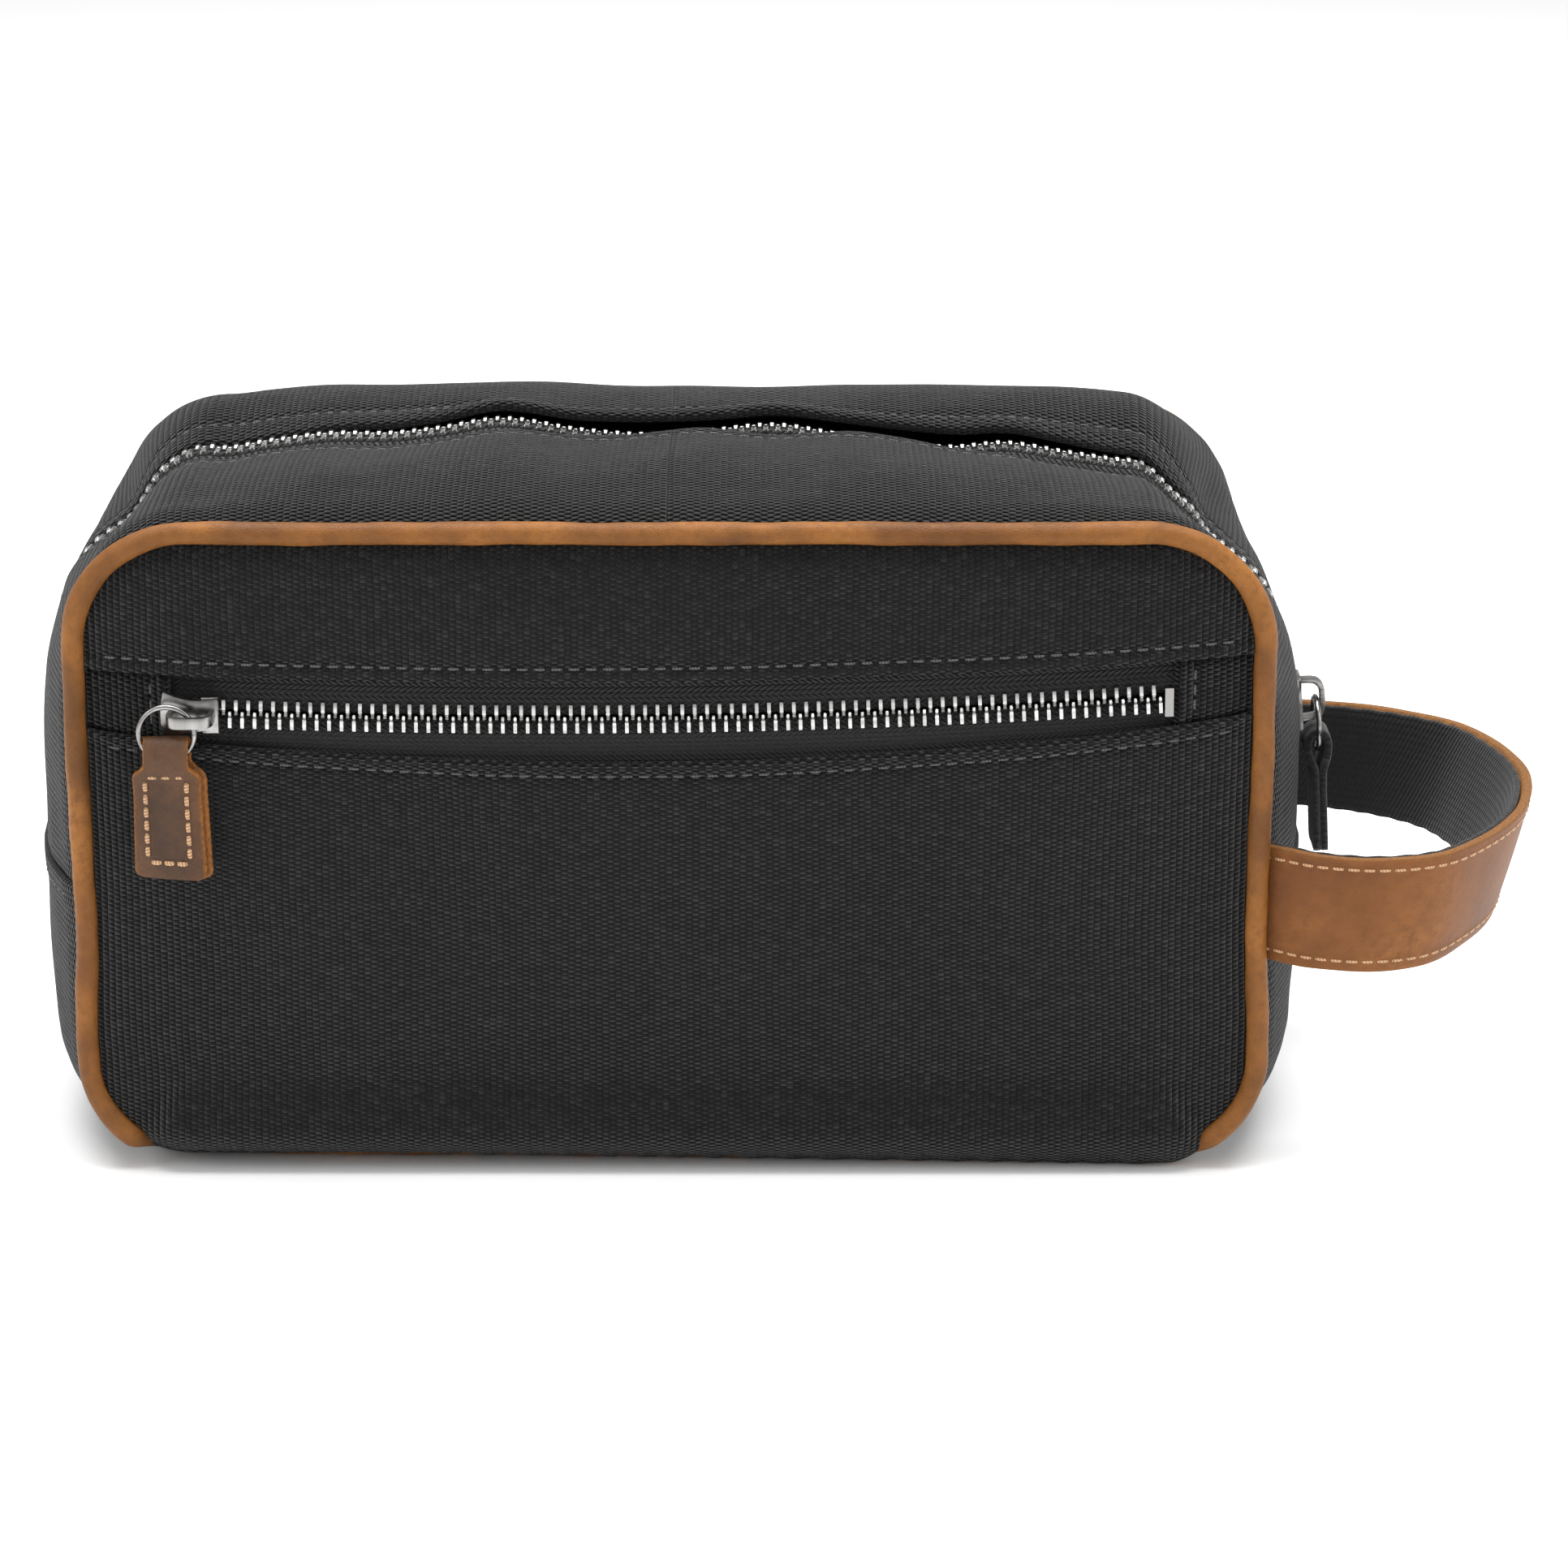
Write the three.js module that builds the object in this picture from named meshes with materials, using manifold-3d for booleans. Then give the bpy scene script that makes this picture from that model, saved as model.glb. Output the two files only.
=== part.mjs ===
// Shaving kit bag: a boxy canvas wash bag with leather piping, a zip over the top, a zipped front pocket
// and a leather side handle. Millimetres, +Z up, +X towards the handle, +Y to the back.
// The origin is the middle of the flat floor.
import * as THREE from "three";
import { mergeVertices } from "three/addons/utils/BufferGeometryUtils.js";
import Module from "manifold-3d";

const wasm = await Module();
wasm.setup();

// ---- Driving dimensions ----
const GAP = 0.3; // between neighbouring pieces

// Bag body, between the centrelines of the piping
const BAG_WIDTH = 250;
const BAG_HEIGHT = 143; // top piping above the surface that the bag stands on
const BAG_DEPTH = 106;
const TOP_RADIUS = 25;
const BOTTOM_RADIUS = 22;
const FOOT_FLARE = 1; // how much further out each side stands near the floor
const FLARE_LOW = 30; // full flare below this height
const FLARE_HIGH = 60; // none above this one
const FLARE_STEPS = 8; // pieces of each side, the same on neighbours that follow the flare
const CANVAS = 2;
const LINING = 0.8;
const PIPING_RADIUS = 2.6;
const PIPING_LIFT = 0.4; // piping above the surface that the bag stands on
const FACE_CROWN = 4.1; // how far the front and back panels swell past the piping
const SIDE_CROWN = 13; // how far the gusset swells at the sides
const SIDE_FADE = 0.3; // share of that swell that is lost towards the top and the floor
const CORNER_PULL = 0.9; // share of the swell that the zip takes away at the top corners
const TOP_CROWN = 11.5;
const FLOOR_CROWN = 6; // flattened by the surface that the bag stands on
const SIDE_SQUARENESS = 2.6; // powers that shape each swell: the higher, the flatter its middle
const UPRIGHT_SQUARENESS = 3.5;
const FACE_SQUARENESS = { across: 8, up: 4 };
const SEAM_HEIGHT = 62; // seam between the zip gusset and the floor gusset

// Seam allowance inside the piping, and the lining tub
const BINDING_WIDTH = 4;
const BINDING_THICKNESS = 3.4;
const BINDING_CLEAR = 0.4; // below the gusset
const BINDING_LAP = 0.5; // past the edge of the gusset, towards the panel
const TUB_INSET = 7;
const TUB_RIM_DROP = 10;

// Zips: pitch and tooth are the same on both
const TOOTH_PITCH = 2.6;
const TOOTH_LENGTH = 1; // along the zip
const CHAIN_HALF = 3.1; // chain centre to the outside of a row
const TOOTH_OVERLAP = 0.4; // each tooth past the chain centre
const BEAD_WIDTH = 0.9; // the bar that the teeth of one row stand on
const TEETH_THICKNESS = 2.4;
const TAPE = 0.8;
const TAPE_REACH = 12; // chain centre to the outer edge of the tape
const MAIN_END_LIFT = 10; // left end of the top zip above the seam
const STOP_LENGTH = 1.8;
const MAIN_ZIP_OPENING = 4.4; // chain centre to the folded canvas edge
const MAIN_TEETH_DEPTH = 1.2; // middle of the teeth below the canvas surface
const MAIN_SLIDER_HEIGHT = 90;
const MAIN_PLATE_CLEAR = 0.2; // more room behind the tape, which bows across the zip
const MAIN_TAPE_TUCK = 8; // tape below the gusset seam

// Front pocket zip, which climbs a little from left to right
const POCKET_HALF_WIDTH = 106;
const FRONT_ZIP_START = -100; // middle of the slider when the pocket is closed
const FRONT_ZIP_HEIGHT = 104.6; // there
const FRONT_ZIP_TRAVEL = 192;
const FRONT_ZIP_RISE = 2.4; // over the travel
const FRONT_TEETH_DEPTH = 1.47; // middle of the teeth below the panel, at the slider
const LOWER_LIP = { middle: 95, tilt: 0.0147, sag: 0.0005 };
const UPPER_LIP = { middle: 112.1, tilt: 0.0138, sag: 0.00026 };
const POCKET_BOTTOM = 16;
const POCKET_TOP_LAP = 21; // pocket lining above the lower lip
const POCKET_LINING_INSET = 4; // at each side
const FRONT_TAPE_LAP = 5; // tape past the pocket opening at each end

// Slider, ring and pull tab
const SLIDER_LENGTH = 11.6;
const SLIDER_NARROW = 3.9; // half width at the closed side
const SLIDER_WIDE = 5.6; // half width at the open side
const SLIDER_WAIST = 3.6; // half width between the two
const PLATE_CLEAR = 0.3; // slider plate to teeth
const PLATE = 1.4;
const BACK_PLATE = 1;
const POST_WIDTH = 1.6;
const POST_LENGTH = 2.4;
const POST_SETBACK = 0.4; // from the end of the plates
const FLANGE_LENGTH = 3; // side walls at the closed end
const RING_RADIUS = 5.8; // to the middle of the wire
const WIRE = 1.2;
const FRONT_RING_DROP = 2.3; // its centre below the bridge, as it lies on the panel
const RING_STANDOFF = 6.2; // middle of the teeth to the plane of the ring
const BRIDGE_STRIP = 1.2;
const BRIDGE_WIDTH = 2.3;
const BRIDGE_LENGTH = 10;
const TAB_LEATHER = 1.4;
const TAB_EYE = 3.2; // inside width of the fold that holds the ring
const TAB_NECK = 9.7;
const TAB_WIDTH = 16.4;
const TAB_SHOULDER = 3; // height of the slope from neck to body
const TAB_TAPER = 0.6; // each side is this much narrower at the shoulder than at the end
const TAB_CORNER = 1.6;
const TAB_FOLD_CORNER = 1.2; // bevel at the top of the fold
const FRONT_TAB_LENGTH = 25; // below the ring
const MAIN_TAB_LENGTH = 22;
const MAIN_TAB_WIDTH = 12;

// Handle
const STRAP_WIDTH = 25.4;
const STRAP_HEIGHT = 61; // middle of the strap
const STRAP_LEATHER = 2;
const STRAP_WEBBING = 1.6;
const STRAP_LEAN = 3.4; // top edge further out than the middle, at the far end
const STRAP_TILT = 20; // degrees that the handle tilts each way
const STRAP_ROOT = 3.8; // its hinge line past the piping centreline
const ANCHOR_LENGTH = 15;

// ---- Sizes that follow from them ----
const halfW = BAG_WIDTH / 2;
const halfD = BAG_DEPTH / 2;
const outlineLow = PIPING_RADIUS + PIPING_LIFT;
const outlineHigh = BAG_HEIGHT;
const pipingClear = PIPING_RADIUS + GAP;
const gussetEdge = halfD - pipingClear;
const flapHalf = halfW - TOP_RADIUS;
const toothGap = TOOTH_PITCH / 2 - TOOTH_LENGTH;
const frontZipTilt = Math.atan2(FRONT_ZIP_RISE, FRONT_ZIP_TRAVEL);

// ---- Materials ----
const finish = (color, roughness, metalness) =>
  new THREE.MeshStandardMaterial({ color, roughness, metalness });
const canvas = finish(0x1e1e20, 0.95, 0);
const liningCloth = finish(0x2b2b2e, 0.9, 0);
const pipingLeather = finish(0xa8662c, 0.6, 0);
const strapLeather = finish(0x9a6230, 0.6, 0);
const tabLeather = finish(0x6f452a, 0.6, 0);
const tabCloth = finish(0x18181a, 0.95, 0);
const webbing = finish(0x141416, 0.95, 0);
const tapeCloth = finish(0x151517, 0.95, 0);
const metal = finish(0x9d9b98, 0.35, 1);

// ---- Mesh helpers ----
// Turns a closed mesh the right way out.
function faceOut(geometry) {
  const p = geometry.getAttribute("position");
  const index = geometry.index.array;
  const a = new THREE.Vector3();
  const b = new THREE.Vector3();
  const c = new THREE.Vector3();
  let volume = 0;
  for (let i = 0; i < index.length; i += 3) {
    a.fromBufferAttribute(p, index[i]);
    b.fromBufferAttribute(p, index[i + 1]);
    c.fromBufferAttribute(p, index[i + 2]);
    volume += a.dot(b.cross(c));
  }
  if (volume < 0) {
    for (let i = 0; i < index.length; i += 3) {
      const kept = index[i];
      index[i] = index[i + 1];
      index[i + 1] = kept;
    }
  }
  return geometry;
}

function toSolid(geometry) {
  const bare = geometry.clone();
  bare.deleteAttribute("normal");
  bare.deleteAttribute("uv");
  const merged = mergeVertices(bare, 1e-4);
  return new wasm.Manifold(
    new wasm.Mesh({
      numProp: 3,
      vertProperties: merged.getAttribute("position").array,
      triVerts: new Uint32Array(merged.index.array),
    }),
  );
}

function toGeometry(solid) {
  const mesh = solid.getMesh();
  const geometry = new THREE.BufferGeometry();
  geometry.setAttribute("position", new THREE.BufferAttribute(mesh.vertProperties, 3));
  geometry.setIndex(new THREE.BufferAttribute(mesh.triVerts, 1));
  geometry.computeVertexNormals();
  return geometry;
}

const join = (first, ...rest) =>
  toGeometry(rest.reduce((sum, g) => sum.add(toSolid(g)), toSolid(first)));
const cut = (first, ...rest) =>
  toGeometry(rest.reduce((left, g) => left.subtract(toSolid(g)), toSolid(first)));
const common = (first, ...rest) =>
  toGeometry(rest.reduce((both, g) => both.intersect(toSolid(g)), toSolid(first)));

// A box between two corners.
function block(low, high) {
  const size = high.map((v, i) => v - low[i]);
  const box = new THREE.BoxGeometry(...size);
  return box.translate(...low.map((v, i) => v + size[i] / 2));
}

// A flat outline [x, z] made into a plate between two values of y.
function plateXZ(points, yLow, yHigh) {
  const shape = new THREE.Shape(points.map(([x, z]) => new THREE.Vector2(x, z)));
  const plate = new THREE.ExtrudeGeometry(shape, { depth: yHigh - yLow, bevelEnabled: false });
  return plate.rotateX(Math.PI / 2).translate(0, yHigh, 0);
}

// A flat outline [x, y] made into a plate between two values of z.
function plateXY(points, zLow, zHigh) {
  const shape = new THREE.Shape(points.map(([x, y]) => new THREE.Vector2(x, y)));
  const plate = new THREE.ExtrudeGeometry(shape, { depth: zHigh - zLow, bevelEnabled: false });
  return plate.translate(0, 0, zLow);
}

// A closed sheet of even thickness. pointAt(i, j, depth) gives its surface, and wrapped joins its two ends.
function sheet(rows, columns, pointAt, near, far, wrapped = false) {
  const positions = [];
  const index = [];
  for (const depth of [near, far]) {
    for (let i = 0; i < rows; i += 1) {
      for (let j = 0; j < columns; j += 1) positions.push(...pointAt(i, j, depth).toArray());
    }
  }
  const at = (layer, i, j) => (layer * rows + (i % rows)) * columns + j;
  const quad = (a, b, c, d) => index.push(a, b, c, a, c, d);
  const lastRow = wrapped ? rows : rows - 1;
  for (let i = 0; i < lastRow; i += 1) {
    for (let j = 0; j < columns - 1; j += 1) {
      quad(at(0, i, j), at(0, i + 1, j), at(0, i + 1, j + 1), at(0, i, j + 1));
      quad(at(1, i, j), at(1, i, j + 1), at(1, i + 1, j + 1), at(1, i + 1, j));
    }
    quad(at(0, i, 0), at(1, i, 0), at(1, i + 1, 0), at(0, i + 1, 0));
    const j = columns - 1;
    quad(at(0, i, j), at(0, i + 1, j), at(1, i + 1, j), at(1, i, j));
  }
  if (!wrapped) {
    for (let j = 0; j < columns - 1; j += 1) {
      quad(at(0, 0, j), at(0, 0, j + 1), at(1, 0, j + 1), at(1, 0, j));
      const i = rows - 1;
      quad(at(0, i, j), at(1, i, j), at(1, i, j + 1), at(0, i, j + 1));
    }
  }
  const geometry = new THREE.BufferGeometry();
  geometry.setAttribute("position", new THREE.Float32BufferAttribute(positions, 3));
  geometry.setIndex(index);
  faceOut(geometry);
  geometry.computeVertexNormals();
  return geometry;
}

const steps = (from, to, count) =>
  Array.from({ length: count + 1 }, (_, k) => from + ((to - from) * k) / count);

// ---- The outline that both panels, the piping and the gusset share ----
const footFlare = (z) => FOOT_FLARE * (1 - THREE.MathUtils.smoothstep(z, FLARE_LOW, FLARE_HIGH));

// Runs anticlockwise seen from the front, from the left end of the floor. Each point has its outward normal.
function outline(inset, cornerSteps = 7, sideSteps = 6, topSteps = 6, floorSteps = 4) {
  const points = [];
  const arc = (cx, cz, radius, from) => {
    for (const angle of steps(from, from + Math.PI / 2, cornerSteps)) {
      const nx = Math.cos(angle);
      const nz = Math.sin(angle);
      points.push({ x: cx + radius * nx, z: cz + radius * nz, nx, nz });
    }
  };
  const line = (x0, z0, x1, z1, count, nx, nz) => {
    for (const t of steps(0, 1, count).slice(1, -1)) {
      points.push({ x: x0 + (x1 - x0) * t, z: z0 + (z1 - z0) * t, nx, nz });
    }
  };
  const lowX = halfW - BOTTOM_RADIUS;
  const lowZ = outlineLow + BOTTOM_RADIUS;
  const highX = halfW - TOP_RADIUS;
  const highZ = outlineHigh - TOP_RADIUS;
  const edge = halfW - inset;
  line(-lowX, outlineLow + inset, lowX, outlineLow + inset, floorSteps, 0, -1);
  arc(lowX, lowZ, BOTTOM_RADIUS - inset, -Math.PI / 2);
  line(edge, lowZ, edge, highZ, sideSteps, 1, 0);
  arc(highX, highZ, TOP_RADIUS - inset, 0);
  line(highX, outlineHigh - inset, -highX, outlineHigh - inset, topSteps, 0, 1);
  arc(-highX, highZ, TOP_RADIUS - inset, Math.PI / 2);
  line(-edge, highZ, -edge, lowZ, sideSteps, -1, 0);
  arc(-lowX, lowZ, BOTTOM_RADIUS - inset, Math.PI);
  return points.map((p) => ({ ...p, x: p.x * (1 + footFlare(p.z) / halfW) }));
}

// ---- Gusset: the band round the bag, swollen between the two pipings ----
function gussetSwell(p, y) {
  const across = Math.abs(y) / halfD;
  const fade = 1 - SIDE_FADE * ((p.z - SEAM_HEIGHT) / (BAG_HEIGHT / 2)) ** 2;
  const side = SIDE_CROWN * fade * (1 - across ** SIDE_SQUARENESS);
  const upright = (p.nz > 0 ? TOP_CROWN : FLOOR_CROWN) * (1 - across ** UPRIGHT_SQUARENESS);
  const pull = p.nz > 0 ? CORNER_PULL * (2 * p.nx * p.nz) ** 2 * (1 - across ** 2) : 0;
  return (side * p.nx ** 2 + upright * p.nz ** 2) * (1 - pull);
}

function gussetPoint(p, y, depth) {
  const out = gussetSwell(p, y) - depth;
  return new THREE.Vector3(p.x + p.nx * out, y, Math.max(p.z + p.nz * out, depth));
}

function gussetBand(ys, near, far) {
  const ring = outline(0);
  return sheet(ring.length, ys.length, (i, j, depth) => gussetPoint(ring[i], ys[j], depth), near, far, true);
}

const far = 400; // past every piece, for cutting
const half = GAP / 2;
const frontHalf = (edge) => block([-far, -far, -far], [far, -edge, far]);
const rearHalf = (edge) => block([-far, edge, -far], [far, far, far]);
const above = block([-far, -far, SEAM_HEIGHT + half], [far, far, far]);
const below = block([-far, -far, -far], [far, far, SEAM_HEIGHT - half]);
const zones = {
  left: block([-far, -far, -far], [-flapHalf - half, far, far]),
  right: block([flapHalf + half, -far, -far], [far, far, far]),
  top: block([-flapHalf + half, -far, BAG_HEIGHT - TOP_RADIUS], [flapHalf - half, far, far]),
};

// The slot in the seam that each end of the strap is sewn through
const anchorOuter = gussetEdge;
const anchorInner = anchorOuter - STRAP_LEATHER - STRAP_WEBBING;
function strapSlot(side) {
  const y = [side * (anchorOuter + far), side * (anchorInner - GAP)].sort((a, b) => a - b);
  const z = STRAP_WIDTH / 2 + GAP;
  return block([halfW - ANCHOR_LENGTH, y[0], STRAP_HEIGHT - z], [far, y[1], STRAP_HEIGHT + z]);
}

const gussetStations = [1, 0.93, 0.8, 0.6, 0.36, 0.12];
const gussetYs = [
  ...gussetStations.map((t) => -gussetEdge * t),
  ...gussetStations.map((t) => gussetEdge * t).reverse(),
];
const band = gussetBand(gussetYs, 0, CANVAS);

// ---- Front and back panels ----
function faceSwell(x, z) {
  const across = Math.min(Math.abs(x) / halfW, 1);
  const middle = (outlineLow + outlineHigh) / 2;
  const up = Math.min(Math.abs(z - middle) / (outlineHigh - middle), 1);
  return FACE_CROWN * (1 - across ** FACE_SQUARENESS.across) * (1 - up ** FACE_SQUARENESS.up);
}

// A crowned layer of the front (side -1) or back (side 1), between two depths below the panel's surface.
// It is drawn as rings that shrink towards the middle, by less in width than in height.
function faceLayer(side, inset, near, deep) {
  const rings = [1, 0.9, 0.76, 0.55, 0.3];
  const widthShare = 0.75;
  const ringX = (x, t) => x * (1 - (1 - t) * widthShare);
  const edge = outline(inset, 5, FLARE_STEPS, 8, 8);
  const middle = (outlineLow + outlineHigh) / 2;
  const positions = [];
  const index = [];
  const put = (x, z, depth) => {
    positions.push(x, side * (halfD + faceSwell(x, z) - depth), z);
  };
  for (const depth of [near, deep]) {
    for (const t of rings) {
      for (const p of edge) put(ringX(p.x, t), middle + (p.z - middle) * t, depth);
    }
  }
  const n = edge.length;
  const at = (layer, ring, i) => (layer * rings.length + ring) * n + (i % n);
  for (let i = 0; i < n; i += 1) {
    for (let r = 0; r < rings.length - 1; r += 1) {
      const [a, b, c, d] = [at(0, r, i), at(0, r, i + 1), at(0, r + 1, i + 1), at(0, r + 1, i)];
      index.push(a, b, c, a, c, d);
      const [e, f, g, h] = [at(1, r, i), at(1, r + 1, i), at(1, r + 1, i + 1), at(1, r, i + 1)];
      index.push(e, f, g, e, g, h);
    }
    index.push(at(0, 0, i), at(1, 0, i), at(1, 0, i + 1), at(0, 0, i), at(1, 0, i + 1), at(0, 0, i + 1));
  }
  // The innermost ring is closed by a flat patch on each layer.
  const inner = edge.map((p) => new THREE.Vector2(ringX(p.x, rings.at(-1)), p.z * rings.at(-1)));
  for (const [a, b, c] of THREE.ShapeUtils.triangulateShape(inner, [])) {
    const r = rings.length - 1;
    index.push(at(0, r, a), at(0, r, b), at(0, r, c), at(1, r, a), at(1, r, c), at(1, r, b));
  }
  const geometry = new THREE.BufferGeometry();
  geometry.setAttribute("position", new THREE.Float32BufferAttribute(positions, 3));
  geometry.setIndex(index);
  faceOut(geometry);
  geometry.computeVertexNormals();
  return geometry;
}

const lipHeight = (lip, x) => lip.middle + lip.tilt * x + lip.sag * x * x;
const zipHeight = (x) => FRONT_ZIP_HEIGHT + (FRONT_ZIP_RISE * (x - FRONT_ZIP_START)) / FRONT_ZIP_TRAVEL;

// Everything in front of the bag's middle that lies above or below a lip of the pocket opening.
function lipCutter(lip, offset, upward) {
  const reach = halfW + FOOT_FLARE;
  const edge = steps(-reach, reach, 12).map((x) => [x, lipHeight(lip, x) + offset]);
  const limit = upward ? outlineHigh + far : outlineLow - far;
  return plateXZ([...edge, [reach, limit], [-reach, limit]], -far, 0);
}

const facePanel = faceLayer(-1, pipingClear, 0, CANVAS);
const zipBand = common(
  facePanel,
  lipCutter(LOWER_LIP, GAP, true),
  lipCutter(UPPER_LIP, -GAP, false),
);

// One tape of the front zip (side 1 above the chain, -1 below it), just behind the panel.
function frontTape(side) {
  const xs = steps(-POCKET_HALF_WIDTH - FRONT_TAPE_LAP, POCKET_HALF_WIDTH + FRONT_TAPE_LAP, 24);
  const across = [side * (CHAIN_HALF + GAP), side * TAPE_REACH];
  const depth = CANVAS + GAP;
  return sheet(
    xs.length,
    across.length,
    (i, j, d) => {
      const z = zipHeight(xs[i]) + across[j];
      return new THREE.Vector3(xs[i], -(halfD + faceSwell(xs[i], z) - d), z);
    },
    depth,
    depth + TAPE,
  );
}

// ---- Zip rows ----
// One straight row of teeth along X: the bead is on the side away from the chain centre.
function straightRow(from, to, side, phase) {
  const inner = CHAIN_HALF - BEAD_WIDTH;
  const points = [[from, side * CHAIN_HALF], [from, side * inner]];
  for (let x = from + phase; x + TOOTH_LENGTH < to; x += TOOTH_PITCH) {
    points.push([x, side * inner], [x, -side * TOOTH_OVERLAP]);
    points.push([x + TOOTH_LENGTH, -side * TOOTH_OVERLAP], [x + TOOTH_LENGTH, side * inner]);
  }
  points.push([to, side * inner], [to, side * CHAIN_HALF]);
  return plateXY(points, -TEETH_THICKNESS / 2, TEETH_THICKNESS / 2);
}

// The zip's path round one side of the bag, as outline points from the slider or stop up to the top flap.
function sidePath(side, lowest) {
  const apart = 1; // least distance between its ends and the outline's own points
  const points = outline(0, 12, 10);
  const chosen = points.filter((p) => p.x * side >= flapHalf && p.z > lowest + apart && p.nz >= 0);
  chosen.sort((a, b) => Math.atan2(a.nz, a.nx * side) - Math.atan2(b.nz, b.nx * side) || a.z - b.z);
  const start = { x: side * halfW, z: lowest, nx: side, nz: 0 };
  const end = { x: side * (flapHalf + half), z: outlineHigh, nx: 0, nz: 1 };
  return [start, ...chosen.filter((p) => Math.abs(p.x) > flapHalf + apart), end];
}

function sideRow(side, hand, lowest) {
  const path = sidePath(side, lowest);
  const across = [hand * half, hand * CHAIN_HALF];
  const depth = MAIN_TEETH_DEPTH - TEETH_THICKNESS / 2;
  return sheet(
    path.length,
    across.length,
    (i, j, d) => {
      const p = path[i];
      const out = gussetSwell(p, 0) - d;
      return new THREE.Vector3(p.x + p.nx * out, across[j], p.z + p.nz * out);
    },
    depth,
    depth + TEETH_THICKNESS,
  );
}

const mainTapeYs = [CHAIN_HALF + GAP, (CHAIN_HALF + TAPE_REACH) / 2, TAPE_REACH];
const mainTape = (hand) =>
  gussetBand(mainTapeYs.map((y) => hand * y), CANVAS + GAP, CANVAS + GAP + TAPE);
const topLiningYs = [TAPE_REACH + GAP, 24, 36, gussetEdge - BINDING_THICKNESS - GAP];
const topLining = (hand) =>
  gussetBand(topLiningYs.map((y) => hand * y), CANVAS + GAP, CANVAS + GAP + LINING);

// ---- Slider, bridge, ring and tab ----
// Their own frame: +X towards the closed side of the zip, +Z away from the bag, origin in the teeth.
const plateLow = TEETH_THICKNESS / 2 + PLATE_CLEAR;
const plateHigh = plateLow + PLATE;

function sliderBody(backLevel) {
  const end = SLIDER_LENGTH / 2;
  const bow = steps(0, 1, 6).map((t) => {
    const straight = SLIDER_WIDE + (SLIDER_NARROW - SLIDER_WIDE) * t;
    const waist = (SLIDER_WIDE + SLIDER_NARROW) / 2 - SLIDER_WAIST;
    return [-end + SLIDER_LENGTH * t, straight - waist * 4 * t * (1 - t)];
  });
  const outlinePoints = [...bow, ...bow.map(([x, y]) => [x, -y]).reverse()];
  const plate = plateXY(outlinePoints, plateLow, plateHigh);
  const back = plateXY(outlinePoints, backLevel - BACK_PLATE, backLevel);
  const postEnd = -end + POST_LENGTH;
  const post = block(
    [-end + POST_SETBACK, -POST_WIDTH / 2, backLevel - BACK_PLATE / 2],
    [postEnd, POST_WIDTH / 2, plateLow + PLATE / 2],
  );
  const flanges = [-1, 1].map((side) => {
    const y = [side * (CHAIN_HALF + GAP), side * SLIDER_NARROW].sort((a, b) => a - b);
    return block([end - FLANGE_LENGTH, y[0], TEETH_THICKNESS / 4], [end, y[1], plateLow + PLATE / 2]);
  });
  return join(plate, back, post, ...flanges);
}

const bridgeInside = RING_STANDOFF + WIRE / 2 + GAP;
function sliderBridge() {
  const foot = plateHigh + GAP;
  const outer = BRIDGE_LENGTH / 2;
  const inner = outer - BRIDGE_STRIP;
  const arch = (reach, top) =>
    steps(0, Math.PI, 8).map((a) => [
      reach * Math.sign(Math.cos(a)) * Math.abs(Math.cos(a)) ** 0.6,
      foot + (top - foot) * Math.sin(a) ** 0.5,
    ]);
  const points = [...arch(outer, bridgeInside + BRIDGE_STRIP), ...arch(inner, bridgeInside).reverse()];
  return plateXZ(points, -BRIDGE_WIDTH / 2, BRIDGE_WIDTH / 2);
}

function pullRing() {
  return new THREE.TorusGeometry(RING_RADIUS, WIRE / 2, 8, 28);
}

// The tab hangs along -Y from the ring, whose wire centre is at the origin. +Z is away from the bag.
const eyeBottom = -WIRE / 2 - 1.5 * GAP;
const eyeTop = RING_RADIUS - Math.sqrt(RING_RADIUS ** 2 - (TAB_NECK / 2) ** 2) + WIRE / 2 + 2 * GAP;
function pullTab(length, width) {
  const outside = TAB_EYE / 2 + TAB_LEATHER;
  const inside = TAB_EYE / 2;
  const foldTop = eyeTop + TAB_LEATHER;
  const shoulder = eyeBottom - TAB_SHOULDER;
  const section = [
    [-TAB_LEATHER, shoulder - 1],
    [TAB_LEATHER, shoulder - 1],
    [TAB_LEATHER, shoulder],
    [outside, eyeBottom + 0.6],
    [outside, eyeTop - 0.4],
    [outside - TAB_FOLD_CORNER, foldTop],
    [TAB_FOLD_CORNER - outside, foldTop],
    [-outside, eyeTop - 0.4],
    [-outside, eyeBottom + 0.6],
    [-TAB_LEATHER, shoulder],
  ];
  const eye = [
    [-0.6, eyeBottom - 1],
    [0.6, eyeBottom - 1],
    [inside, eyeBottom + 0.8],
    [inside, eyeTop],
    [-inside, eyeTop],
    [-inside, eyeBottom + 0.8],
  ];
  // Drawn as [across the thickness, up] and extruded over the width of the neck.
  const across = (points, reach) => {
    const shape = new THREE.Shape(points.map(([t, up]) => new THREE.Vector2(t, up)));
    const solid = new THREE.ExtrudeGeometry(shape, { depth: reach, bevelEnabled: false });
    return solid.translate(0, 0, -reach / 2).rotateY(-Math.PI / 2);
  };
  const side = width / 2;
  const end = eyeBottom - length;
  const body = plateXY(
    [
      [TAB_NECK / 2, shoulder + TAB_SHOULDER * 0.7],
      [-TAB_NECK / 2, shoulder + TAB_SHOULDER * 0.7],
      [-side + TAB_TAPER, shoulder],
      [-side, end + TAB_CORNER],
      [-side + TAB_CORNER, end],
      [side - TAB_CORNER, end],
      [side, end + TAB_CORNER],
      [side - TAB_TAPER, shoulder],
    ],
    -TAB_LEATHER,
    TAB_LEATHER,
  );
  return cut(join(across(section, TAB_NECK), body), across(eye, width + 2));
}

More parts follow.
